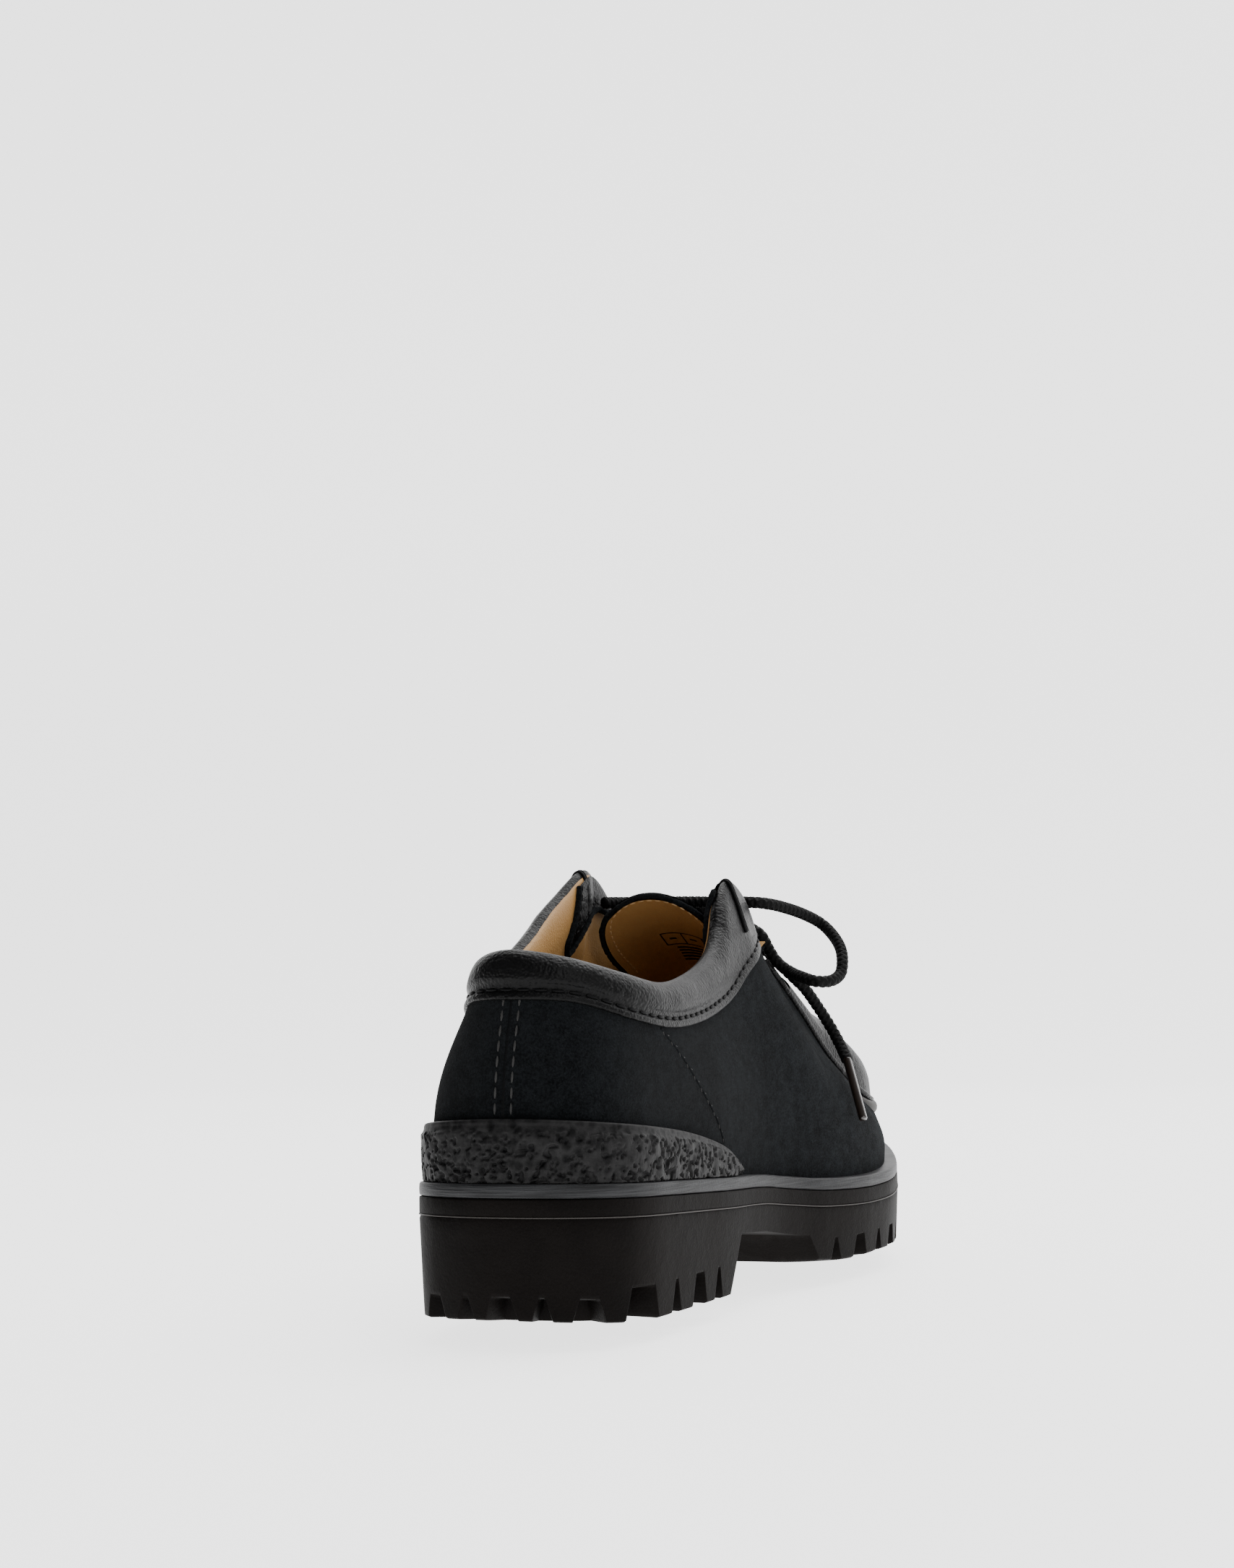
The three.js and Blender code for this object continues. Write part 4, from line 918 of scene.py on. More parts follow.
def heel_rand(material):
    """Section carried along the wall's foot, raised by lumps and sunk by pits below the lip."""
    k = np.linspace(-RAND_REACH, RAND_REACH, 6401)
    inside = upper_foot(k)[:, 1] < RAND["along"][-1] * LENGTH
    k = np.linspace(k[inside].min(), k[inside].max(), 900)
    along = upper_foot(k)[:, 1] / LENGTH
    high = RAND_HEIGHT * follow(RAND, "along", np.clip(along, 0, 1), "height")
    v = (high / wall_height(k))[:, None]
    scale = [RAND_PROFILE_HEIGHT, 1]
    section = curve_through(np.array(RAND_SECTION) * scale, 84) / scale
    fade = np.minimum(1, smooth((RAND_END - along) / RAND_FADE) + RAND_LEAST)[:, None]
    share, stand = np.maximum(section[:, 0], 0)[None], section[:, 1][None]
    grid = upper_offset(k[:, None], share * v, stand * fade)
    rough = smooth((RAND_LIP - share) / RAND_LIP_EDGE) * smooth(stand / 2)
    deep = value_noise(grid, PIT_COARSE, 1) * 0.55 + value_noise(grid, PIT_FINE, 2) * 0.45
    pits = smooth((deep - PIT_LEVEL) / PIT_WALL) * mix(PIT_DEPTH_LOW, PIT_DEPTH_HIGH, share)
    relief = value_noise(grid, LUMP_SIZE, 3) * LUMP_HEIGHT - pits - LUMP_SINK
    grid = grid + upper_normal(k[:, None], share * v) * (rough * fade * relief)[..., None]
    grid[..., 2] = np.maximum(grid[..., 2], welt_top(grid[..., 1]) - RAND_SINK)
    return join_piece(surface("heel_rand", grid, material, uv=lengths(grid)), "crepe", "heel_rand")


heel_rand(crepe())


# Collar: a padded roll of smooth black leather with tan leather on its inner side, sewn to the
# upper along its lower edge. Thick thread binds it at the eyestays, which have black leather
# facings inside, their edges bound in suede.
COLLAR_FROM, COLLAR_TO = -11.0, 10.0
EYESTAY_OUTER, EYESTAY_INNER = 9.0, -9.4
EYESTAY_THIN, END_THIN, END_ROWS = 0.45, 0.55, 3
PUFF_SHARE, PUFF_LEAST = 0.15, 0.6
WRINKLE_SIZE, WRINKLE_HEIGHT, WRINKLE_STRETCH = 3.0, 0.22, (1, 0.35, 1)
# Stitches: their pitch, then the length and width of one.
COLLAR_PITCH, COLLAR_STITCH, STITCH_FLATNESS = 4.9, (3.9, 1.05), 0.8
STITCH_LINE = 2.3
LEATHER_DARK, LEATHER_PALE = (0.0015, 0.0015, 0.0016), (0.004, 0.004, 0.0041)
THREAD_BLACK = (0.0025, 0.0025, 0.0027)
BAR_TACKS = (("outer", 7.75), ("inner", -8.35))
BAR_TACK_RADIUS, BAR_TACK_SLANT, BAR_TACK_STEP = 0.55, 0.05, 0.1
# Sections of the roll: lengths up from its lower edge, share of its band, and outwards.
COLLAR_OUTSIDE = (
    (-0.3, 0, 0.1),
    (-0.3, 0, 0.75),
    (0.1, 0, 1.15),
    (1.1, 0, 1.25),
    (STITCH_LINE, 0, 0.8),
    (3.6, 0, 1.25),
    (0, 0.4, 2.35),
    (0, 0.6, 2.5),
    (0, 0.78, 1.9),
    (0, 0.92, 0.6),
    (0, 1.0, -1.4),
    (0, 0.97, -3.0),
    (0, 0.93, -3.9),
)
COLLAR_INSIDE = (
    (0.935, -3.8),
    (0.86, -4.7),
    (0.7, -5.3),
    (0.45, -5.5),
    (0.2, -4.9),
    (-0.15, -3.6),
    (-0.35, -2.6),
)
BAR_TACK_SECTION = (
    (0.35, 2.9),
    (0.6, 3.2),
    (0.8, 2.4),
    (0.95, 0.8),
    (1.0, -1.3),
    (0.98, -3.1),
    (0.9, -4.6),
    (0.7, -5.9),
    (0.4, -6.0),
)
# Facings: where their rear edges start, how far they run, and their far edges' row numbers.
FACING_OUTER_START, FACING_INNER_START = 117, 111
FACING_RUN, FACING_FOOT, FACING_HEIGHT = 9, 102, 22.5
FACING_CORNER, FACING_CORNER_SHARE = 5, 0.2
FACING_OUTER_ROWS, FACING_INNER_ROWS = (9.9, 8.5), (-10.8, -9.3)
FACING_TOP, FACING_GAP, FACING_THIN = 0.985, 0.35, 0.5
FACING_DEPTH = table(
    "share depth",
    (-0.35, 3.1),
    (0.2, 5.4),
    (0.45, 6.1),
    (0.7, 5.9),
    (0.86, 5.3),
    (0.95, 4.3),
    (1, 3.6),
)
FACING_EDGE_RADIUS, FACING_FUZZ, FACING_FUZZ_SIZE = 1.0, 0.35, 0.9
FACING_PITCH, FACING_STITCH = 3.4, (2.4, 0.7)


def black_leather(name, gloss):
    """Black leather: pebbles and folds added up, roughness in soft clouds."""
    made = Finish(name)
    pebble = made.place.cells(1250, "SMOOTH_F1")
    cloud = made.place.noise(80, 3)
    fold = made.place.noise(240, 3, 0.6)
    made.set("Base Color", cloud.blend(LEATHER_DARK, LEATHER_PALE))
    made.set("Roughness", cloud * 0.14 + 0.32)
    made.set("Specular IOR Level", gloss)
    made.bump(pebble * 0.00022 + fold * 0.0004)
    return made.material


def every(path, pitch):
    """Points on a path at an even pitch, the direction there and the path's row number."""
    far = travelled(path)
    at = np.arange(pitch / 2, far[-1], pitch)
    spots, ahead = (
        np.stack([np.interp(at + step, far, path[:, n]) for n in range(3)], -1) for step in (0, 0.5)
    )
    return spots, ahead - spots + 1e-6, np.interp(at, far, np.arange(len(path)))


def stitches(name, points, ahead, out, size, material):
    """A drawn-out ball at each point, turned to the seam's direction; its rings join by triangles."""
    polar = np.linspace(0, np.pi, 6)[1:-1, None]
    turn = np.linspace(0, 2 * np.pi, 7)[:-1]
    rings = [np.cos(polar), np.sin(polar) * np.cos(turn), np.sin(polar) * np.sin(turn)]
    rings = np.stack(np.broadcast_arrays(*rings), -1).reshape(-1, 3)
    ball = np.concatenate([[(1, 0, 0)], rings, [(-1, 0, 0)]])
    length, width = size
    ball = ball * np.array([length, width, width * STITCH_FLATNESS]) / 2
    around, last = len(turn), len(ball) - 1
    j = np.arange(around)
    k = (j + 1) % around
    low = 1 + around * np.arange(len(polar) - 1)[:, None]
    triangles = [
        (0 * j, 1 + j, 1 + k),
        (0 * j + last, last - around + k, last - around + j),
        (low + j, low + around + j, low + around + k),
        (low + j, low + around + k, low + k),
    ]
    faces = np.concatenate(
        [np.stack(np.broadcast_arrays(*three), -1).reshape(-1, 3) for three in triangles]
    )
    ahead = unit(ahead)
    side = unit(np.cross(out, ahead))
    basis = np.stack([ahead, side, np.cross(ahead, side)], 1)
    places = points[:, None] + np.einsum("vk,nkc->nvc", ball, basis)
    corners = faces[None] + (np.arange(len(points)) * len(ball))[:, None, None]
    return shell(name, places.reshape(-1, 3), corners.reshape(-1, 3), material)


def collar_thin(k):
    """Share of the padding left: it falls towards the collar's ends and beyond the eyestay tips."""
    left = np.minimum(k - COLLAR_FROM, COLLAR_TO - k)
    tip = np.where(k > 0, smooth(EYESTAY_OUTER - k), smooth(k - EYESTAY_INNER))
    return mix(END_THIN, 1, smooth((left - 1) / END_ROWS)) * mix(EYESTAY_THIN, 1, tip)


def collar_at(k, up, share, out):
    """Wall's point at the collar's start, raised by a length and a share of the band."""
    start = collar_start(k)
    v = start + up / wall_height(k) + share * (1 - start)
    return upper_offset(k, np.minimum(v, 1), out)


def collar(outside, inside):
    """Two sections carried along the collar: the outer one wrinkles a little, the inner is plain."""
    k = np.linspace(COLLAR_FROM, COLLAR_TO, 900)[:, None]
    up, share, out = (column[None] for column in curve_through(COLLAR_OUTSIDE, 70).T)
    thin = collar_thin(k)
    grid = collar_at(k, up, share, out * np.where(share > PUFF_SHARE, thin, np.maximum(thin, PUFF_LEAST)))
    wrinkle = value_noise(grid * WRINKLE_STRETCH, WRINKLE_SIZE, 5) - 0.5
    wrinkle = WRINKLE_HEIGHT * wrinkle * smooth(share / 0.3)
    normal = upper_normal(k, np.minimum(collar_start(k) + 0 * up, 1))
    grid = grid + normal * wrinkle[..., None]
    join_piece(surface("collar", grid, outside, uv=lengths(grid)), "smooth_leather", "collar")
    share, out = (column[None] for column in curve_through(COLLAR_INSIDE, 30).T)
    grid = collar_at(k, 0 * share, share, out * thin)
    join_piece(surface("collar_lining", grid, inside), "lining")


def collar_stitches(thread):
    """Long stitches at an even pitch in the groove above the collar's lower edge."""
    k = np.linspace(COLLAR_FROM + 0.3, COLLAR_TO - 0.25, 900)
    path = collar_at(k, STITCH_LINE, 0, np.maximum(collar_thin(k), PUFF_LEAST))
    spots, ahead, at = every(path, COLLAR_PITCH)
    out = upper_normal(np.interp(at, np.arange(900), k), 0.8)
    row = stitches("collar_stitches", spots, ahead, out, COLLAR_STITCH, thread)
    join_piece(row, "smooth_leather")


def bar_tacks(thread):
    """Two turns of thread over the roll at each eyestay, each a tube along the roll's section."""
    share, out = curve_through(BAR_TACK_SECTION, 40).T
    for side, at in BAR_TACKS:
        for n in range(2):
            k = at + BAR_TACK_STEP * n
            row = k + BAR_TACK_SLANT * np.linspace(0, 1, 40)
            path = collar_at(row, 0, share, out * collar_thin(np.full(40, k)))
            turn = surface(f"bar_tack_{side}_{n}", tube(path, BAR_TACK_RADIUS, 8), thread, loop=True)
            join_piece(turn, "smooth_leather")


def on_upper(y, z, side):
    """Wall's row and height share at y and z: the row is mended by its slope, time after time."""
    y, z = np.asarray(y, float), np.asarray(z, float)
    k = np.full(y.shape, 6.0 if side > 0 else -7.0)
    for _ in range(14):
        foot, top = upper_foot(k), upper_top(k)
        v = np.clip((z - foot[..., 2]) / (top[..., 2] - foot[..., 2]), 0, 1)
        slope = (upper_point(k + 0.05, v) - upper_point(k - 0.05, v))[..., 1] / 0.1
        step = (y - upper_point(k, v)[..., 1]) / np.where(np.abs(slope) < 3, 3 * side, slope)
        k = k + np.clip(step, -0.8, 0.8)
    return k, v


def facing(side, material, thread, edge):
    """Grid from the rounded rear edge to the eyestay's, set in by a depth over the band."""
    name, start_y = ("outer", FACING_OUTER_START) if side > 0 else ("inner", FACING_INNER_START)
    far_rows, middle_row = (FACING_OUTER_ROWS, 8.0) if side > 0 else (FACING_INNER_ROWS, -9.0)
    b = np.linspace(0, 1, 50)
    corner = FACING_CORNER * np.maximum(0, 1 - b / FACING_CORNER_SHARE) ** 2
    rear = on_upper(start_y + FACING_RUN * b + corner, FACING_FOOT + FACING_HEIGHT * b, side)
    a = np.linspace(0, 1, 40)[None]
    k = mix(rear[0][:, None], mix(*far_rows, b)[:, None], a)
    v = mix(rear[1][:, None], FACING_TOP, a)
    start = collar_start(k)
    share = (v - start) / (1 - start)
    depth = np.interp(share, FACING_DEPTH["share"], FACING_DEPTH["depth"])
    grid = upper_offset(k, v, -depth * np.maximum(collar_thin(k), FACING_THIN) - FACING_GAP)
    join_piece(surface(f"facing_{name}", grid, material, flip=side < 0), "smooth_leather")
    border = curve_through(np.concatenate([grid[:, 0][::-1], grid[0, 1:]])[::6], 160)
    fuzz = value_noise(border, FACING_FUZZ_SIZE, 8)[:, None] - 0.5
    binding = tube(border, FACING_EDGE_RADIUS + FACING_FUZZ * fuzz, 10)
    join_piece(surface(f"facing_edge_{name}", binding, edge, loop=True), "suede")
    inset = curve_through(np.concatenate([grid[4:, 5][::-1], grid[4, 6:]])[::6], 160)
    spots, ahead, _ = every(inset, FACING_PITCH)
    inward = -upper_normal(np.full(len(spots), middle_row), 0.9)
    row = stitches(f"facing_stitches_{name}", spots, ahead, inward, FACING_STITCH, thread)
    join_piece(row, "smooth_leather")


leather = black_leather("black leather", 0.08)
thread = plain("black thread", THREAD_BLACK, 0.5, 0.06, 0.1)
collar(leather, tan)
collar_stitches(thread)
bar_tacks(thread)
for eyestay in (1, -1):
    facing(eyestay, leather, thread, blue_suede)


# Seams of the upper: the quarters meet in a butt seam at the back, with a row of stitches on each
# side. A curved row of short stitches runs down the outer quarter from the collar to the rand.
BACK_FROM, BACK_BELOW_COLLAR = 0.27, 0.004
BACK_STITCH_SHIFTS = (("a", -2.4), ("b", 2.4))
BACK_PITCH, BACK_STITCH = 4.3, (3.3, 0.75)
BACK_SEAM_WIDTHS = (-0.45, -0.25, 0, 0.25, 0.45)
BACK_SEAM_LIFTS = (-0.1, 0.12, -0.05, 0.12, -0.1)
SIDE_SEAM = ((47, 78.5), (53.5, 74), (61, 68), (68, 61.5), (74.5, 55.5), (80, 50), (84.5, 44))
SIDE_PITCH, SIDE_STITCH = 2.7, (2.5, 0.42)
SIDE_SWING, SIDE_SLANT, SIDE_RIDGE = 0.25, 0.55, 0.5
THREAD_GREY = (0.028, 0.0275, 0.027)


def back_seam(thread, dark):
    """Strip up the wall's middle row, ridged over its width, and stitches shifted to each side."""
    v = np.linspace(BACK_FROM, 1, 200) * (collar_start(0.0) - BACK_BELOW_COLLAR)
    across = np.linalg.norm(upper_point(0.2, v) - upper_point(-0.2, v), axis=-1) / 0.4
    for side, shift in BACK_STITCH_SHIFTS:
        spots, ahead, _ = every(upper_offset(shift / across, v, 0.15), BACK_PITCH)
        out = upper_normal(np.zeros(len(spots)), 0.5)
        row = stitches(f"back_stitches_{side}", spots, ahead, out, BACK_STITCH, thread)
        join_piece(row, "suede")
    width = np.array(BACK_SEAM_WIDTHS)[None] / across[:, None]
    grid = upper_offset(width, v[:, None], np.array(BACK_SEAM_LIFTS)[None])
    join_piece(surface("back_seam", grid, dark, flip=True), "suede")


def side_seam(thread, suede_edge):
    """Stitches on a curve through the seam's points, swung and slanted to each side in turn."""
    y, z = np.array(SIDE_SEAM).T
    k, v = on_upper(y, z, 1)
    path = curve_through(upper_offset(k, v, 0.1), 200)
    spots, ahead, at = every(path, SIDE_PITCH)
    out = upper_normal(np.interp(at, [0, 199], [k[0], k[-1]]), 0.5)
    side = unit(np.cross(out, ahead))
    swing = np.where(np.arange(len(spots)) % 2, 1, -1)[:, None]
    ahead = unit(ahead) + SIDE_SLANT * side * swing
    spots = spots + side * swing * SIDE_SWING
    join_piece(stitches("side_stitches", spots, ahead, out, SIDE_STITCH, thread), "suede")
    ridge = tube(path - [SIDE_SWING, 0, 0], SIDE_RIDGE, 8)
    join_piece(surface("side_ridge", ridge, suede_edge, loop=True), "suede")


grey_thread = plain("grey thread", THREAD_GREY, 0.6, 0.08, 0.05)
back_seam(grey_thread, thread)
side_seam(grey_thread, blue_suede)


# Apron: the plug of wrinkled black leather on the toe, with a puffed edge. It is sewn to the vamp
# by the moccasin seam, whose dark piping stands over a soft roll at the toe, its grey a painted
# highlight.
ROLL_HEIGHT = 17.5
ROLL_RADIUS = 7
APRON_START = 185
APRON_SEAT = 0.2
APRON_THICKNESS = 2.6
APRON_GAP, APRON_FRONT_SHARE, APRON_LIP = 0.3, 0.9, 0.6
CREASE_END, CREASE_FADE, CREASE_PITCH, CREASE_SWAY = 0.72, 30, 2.1, 3
CREASE_SIZE, CREASE_PATCH_SIZE, CREASE_PATCH_LEVEL = 11, 7, 0.3
SOFT_SIZE, SOFT_HEIGHT, SOFT_EDGE = 6, 0.5, 3
PIPING_ROWS, PIPING_RADIUS, PIPING_LIFT, PIPING_STITCH_LIFT = (11.3, 12.3), 1.15, 0.7, 1.5
PIPING_PITCH, PIPING_STITCH = 4.6, (3.2, 0.8)
TOE_ROLL_ROWS, TOE_ROLL_FADE = (14.0, 15.0), 110
TOE_ROLL_PLACE, TOE_ROLL_SINK = 0.9, 1.0
TOE_ROLL_LEAST, TOE_ROLL_SWELL = 0.3, 2.9
# Painted highlight: the toe roll's warm grey stands for light on its black leather.
ROLL_PAINTED_HIGHLIGHT = (0.026, 0.0242, 0.022)
APRON = table(
    "along shoulder middle",
    (0.6, 0.26, 0.36),
    (0.677, 0.5, 0.66),
    (0.759, 0.85, 1.05),
    (0.825, 0.84, 1.0),
    (0.884, 0.6, 0.7),
    (0.948, 0.36, 0.4),
)


def seam_row(y, side):
    """Row number at which the wall's top edge reaches y, going back from the toe on one side."""
    fine = np.linspace(0, 11, 600)
    k = TOE_ROW + (-fine if side > 0 else fine)
    return np.interp(-np.asarray(y, float), -upper_top(k)[:, 1], k)


def apron(material):
    """Grid between the seam's two sides: a round shoulder at its edge, a crown and creases."""
    toe = upper_top(np.array([TOE_ROW]))[0]
    u, v = np.meshgrid(np.linspace(0, 1, 150), np.linspace(0, 1, 130), indexing="ij")
    y = mix(APRON_START, toe[1] - APRON_GAP, np.sin(np.pi / 2 * u))
    outer, inner = upper_top(seam_row(y, 1)), upper_top(seam_row(y, -1))
    share = (1 - np.cos(np.pi * v)) / 2
    grid = mix(inner, outer, share[..., None])
    chord = outer[..., 0] - inner[..., 0]
    edge = np.minimum(np.minimum(share, 1 - share) * chord, (toe[1] - y) * APRON_FRONT_SHARE)
    near = 1 - np.clip(edge / ROLL_RADIUS, 0, 1)
    shoulder = follow(APRON, "along", y / LENGTH, "shoulder")
    middle = follow(APRON, "along", y / LENGTH, "middle")
    roll = shoulder * np.sqrt(np.maximum(1 - near**2, 0))
    crown = (middle - shoulder) * 4 * share * (1 - share)
    grid[..., 2] += APRON_SEAT + ROLL_HEIGHT * (roll + crown)
    grid[..., 2] += APRON_THICKNESS * smooth(edge / APRON_LIP)
    grid[-1] = upper_top(mix(seam_row(y[-1], -1), seam_row(y[-1], 1), share[-1]))
    sway = CREASE_SWAY * value_noise(grid, CREASE_SIZE, 4)
    crease = np.sin(y / CREASE_PITCH + sway)
    crease = crease * (value_noise(grid, CREASE_PATCH_SIZE, 6) - CREASE_PATCH_LEVEL)
    fade = smooth((LENGTH * CREASE_END - y) / CREASE_FADE)
    inside = smooth(edge / SOFT_EDGE)
    grid[..., 2] += SOFT_HEIGHT * fade * crease * inside
    grid[..., 2] += SOFT_HEIGHT * (value_noise(grid * [1, 1, 0], SOFT_SIZE, 7) - 0.5) * inside
    return join_piece(surface("apron", grid, material), "smooth_leather", "apron")


def toe_roll(material):
    """Tube under the moccasin seam, its radius a soft step up to the toe and down again."""
    k = np.linspace(TOE_ROLL_ROWS[0], RING - TOE_ROLL_ROWS[1], 400)
    full = smooth(np.minimum(np.arange(400), 399 - np.arange(400)) / TOE_ROLL_FADE)[:, None]
    path = upper_offset(k, TOE_ROLL_PLACE, -TOE_ROLL_SINK)
    roll = tube(path, TOE_ROLL_LEAST + TOE_ROLL_SWELL * full, 14)
    join_piece(surface("toe_roll", roll, material, loop=True), "suede")


def seam_piping(material, thread):
    """Tube along the wall's top edge, with stitches at an even pitch above it."""
    edge = upper_top(np.linspace(PIPING_ROWS[0], RING - PIPING_ROWS[1], 500))
    piping = tube(edge + [0, 0, PIPING_LIFT], PIPING_RADIUS, 10)
    join_piece(surface("seam_piping", piping, material, loop=True), "smooth_leather")
    spots, ahead, _ = every(edge + [0, 0, PIPING_STITCH_LIFT], PIPING_PITCH)
    out = np.tile([0.0, 0.0, 1.0], (len(spots), 1))
    join_piece(stitches("seam_stitches", spots, ahead, out, PIPING_STITCH, thread), "smooth_leather")


apron_leather = black_leather("wrinkled leather", 0.06)
apron(apron_leather)
seam_piping(apron_leather, thread)
# The toe roll's grey colour is a painted highlight.
toe_roll(plain("toe roll painted highlight", ROLL_PAINTED_HIGHLIGHT, 0.5, 0.08))


# Tongue: a flap of suede lined with tan leather, sewn together along its edge and fixed under the
# vamp. A plain frame and bars are printed on its lining.
TONGUE_THICKNESS = 2.4
TONGUE_EDGE_FROM = 40
TONGUE_EDGE_RADIUS = 0.85
TONGUE_FUZZ, TONGUE_FUZZ_SIZE = 0.4, 0.8
TONGUE_WAVE, TONGUE_WAVE_SIZE = 0.3, 2.5
TONGUE_PITCH, TONGUE_STITCH = 2.9, (2.0, 0.55)
TAN_THREAD = (0.5, 0.33, 0.17)
PRINT_BROWN = (0.02, 0.007, 0.003)
PRINT_DEPTH = 2.52
# The print: x across the tongue and shares of the tongue's length.
FRAME_LEFT, FRAME_RIGHT, FRAME_LOW, FRAME_HIGH = -4.5, 19.0, 0.53, 0.63
UPRIGHTS = (FRAME_LEFT, 3.3, 11.2, FRAME_RIGHT)
MARKS, MARK_PLACE, MARK_WIDTH = (-2.2, 5.6, 13.4), 0.58, 2.6
LINES_LEFT, LINES_TOP, LINES_PITCH = -1.5, 0.5, 0.024
LINE_WIDTHS = (13, 14, 12.5, 14.5, 10)
UPRIGHT_HALF, RULE_HALF, MARK_HALF, LINE_HALF = 0.25, 0.0035, 0.007, 0.0065


def under_tongue(face, depth):
    """The tongue's face moved down by a depth along its own upward direction."""
    normal = unit(np.cross(np.gradient(face, axis=0), np.gradient(face, axis=1)))
    return face - normal * np.sign(normal[..., 2:]) * depth


def tongue(outside, inside, pale):
    """Face and lining as two grids, with a fuzzy tube and a row of stitches round their edge."""
    u, v = np.meshgrid(np.linspace(0, 1, 90), np.linspace(0, 1, 60), indexing="ij")
    half = follow(TONGUE, "at", u, "width") * TONGUE_WIDTH / 2
    face = tongue_face(mix(-half, half, v), u)
    back = under_tongue(face, TONGUE_THICKNESS)
    join_piece(surface("tongue", face, outside, flip=True), "suede", "tongue")
    join_piece(surface("tongue_lining", back[:-1, 1:-1], inside), "lining")
    low, middle = TONGUE_EDGE_FROM, (face + back) / 2
    border = np.concatenate([middle[low:, 0], middle[-1, 1:-1], middle[low:, -1][::-1]])
    border = curve_through(border[::4], 420)
    fuzz = TONGUE_FUZZ * (value_noise(border, TONGUE_FUZZ_SIZE, 9)[:, None] - 0.5)
    wave = TONGUE_WAVE * (value_noise(border, TONGUE_WAVE_SIZE, 10)[:, None] - 0.5)
    rim = tube(border, TONGUE_EDGE_RADIUS + fuzz + wave, 12)
    join_piece(surface("tongue_edge", rim, outside, loop=True), "suede")
    inset = np.concatenate([back[low:-4, 4], back[-4, 5:-5], back[low:-4, -5][::-1]])
    spots, ahead, _ = every(curve_through(inset[::4], 400), TONGUE_PITCH)
    below = np.tile([0.0, -0.6, -0.8], (len(spots), 1))
    join_piece(stitches("tongue_stitches", spots, ahead, below, TONGUE_STITCH, pale), "lining")


def print_bar(name, left, right, low, high, ink):
    """Thin patch just under the lining, between two values of x and two shares of length."""
    x, at = np.meshgrid(np.linspace(left, right, 10), np.linspace(low, high, 6), indexing="ij")
    join_piece(surface(name, under_tongue(tongue_face(x, at), PRINT_DEPTH), ink), "lining")


def size_print(ink):
    """Frame with cells, a bar in each, and a row of bars at an even pitch below it."""
    for n, x in enumerate(UPRIGHTS):
        sides = (x - UPRIGHT_HALF, x + UPRIGHT_HALF)
        print_bar(f"print_upright_{n}", *sides, FRAME_LOW, FRAME_HIGH, ink)
    for n, at in enumerate((FRAME_LOW, FRAME_HIGH)):
        ends = (at - RULE_HALF, at + RULE_HALF)
        print_bar(f"print_rule_{n}", FRAME_LEFT, FRAME_RIGHT, *ends, ink)
    for n, x in enumerate(MARKS):
        ends = (MARK_PLACE - MARK_HALF, MARK_PLACE + MARK_HALF)
        print_bar(f"print_mark_{n}_0", x, x + MARK_WIDTH, *ends, ink)
    for n, width in enumerate(LINE_WIDTHS):
        at = LINES_TOP - LINES_PITCH * n
        ends = (at - LINE_HALF, at + LINE_HALF)
        print_bar(f"print_line_{n}", LINES_LEFT, LINES_LEFT + width, *ends, ink)


size_print(plain("brown print", PRINT_BROWN, 0.7, 0.05))
tongue(blue_suede, tan, plain("tan thread", TAN_THREAD, 0.6, 0.3, 0.05))


# Lace: round black braid with glossy tips. Two crossings run through the tabs' eyelets, and the
# bow is tied on the upper one, with an end that shows on the outer side and one on the inner.
LACE = 3.8
EYELET_OUT = 19
LOWER_EYELETS, UPPER_EYELETS = 0.568 * LENGTH, 0.535 * LENGTH
CREST_GAP, EYELET_GAP = 0.3, 0.6
BRAID_PITCH, BRAID_STRANDS, BRAID_RELIEF, BRAID_SINK = 2.2, 3, 0.26, 0.14
BRAID_DARK, BRAID_PALE = (0.0015, 0.0015, 0.0015), (0.005, 0.005, 0.005)
KNOT_SPREAD, KNOT_RADIUS, KNOT_TURNS = 2.4, 2.0, 3
AGLET_RADIUS, AGLET_END_RADIUS, AGLET_OVERLAP = 1.45, 1.25, 0.6
AGLET_BROWN = (0.009, 0.0055, 0.004)
KNOT_FROM, KNOT_TO = (4.5, 166, 112.2), (13.5, 166.5, 112)
OUTER_LOOP = [
    (17.9, 167, 112), (21, 167.8, 110.6), (24, 168.8, 108.2), (26, 170.8, 103.4), (28.8, 171, 99),
    (34, 169.3, 95.6), (40, 161.4, 93.8), (46, 157.6, 92.2), (50, 161, 92.3), (51.5, 167.6, 94.6),
    (51.3, 171.6, 98.7), (49.3, 177.1, 103.4), (45.3, 182.2, 108.2), (40.5, 184.6, 112.4),
    (36, 177.7, 115.6), (31.5, 167.1, 117.8), (28, 161, 118.7), (24.5, 159.5, 119.1),
    (18, 160.5, 119.5), (12, 161.7, 119.7), (5, 160.5, 120), (-2, 157, 120.1),
    (-9, 151.5, 120), (-15, 144, 119.8), (-18.2, 139, 119.7), (-20, 135.4, 119.6),
]
INNER_LOOP = [
    (14, 174.5, 112.2), (8, 173.6, 115.9), (2, 169, 117.9), (-6, 166.5, 118.2), (-14, 165.5, 117.3),
    (-22, 166, 114.5), (-29, 167.5, 109.5), (-34, 170, 104), (-38, 173, 99.5), (-43, 172, 96.8),
    (-48, 166, 96.2), (-49, 159, 98.5), (-45, 155, 101.8), (-39, 156, 104.8), (-32, 159, 107.6),
    (-24, 161, 110.2), (-16, 162.5, 111.8), (-8, 164.5, 112.3), (-0.2, 166, 112.3),
]
OUTER_END = [
    (14.9, 171, 109.3), (19.5, 173.8, 106.7), (23.5, 176.5, 103), (27.8, 179, 98),
    (32, 180.3, 93.6), (35, 182.9, 89.8), (38, 187.5, 83.6), (41.5, 190.4, 76.7),
    (45, 188.5, 71), (48.6, 183.9, 65.8),
]
OUTER_TIP = (56, 174.8, 46.1)
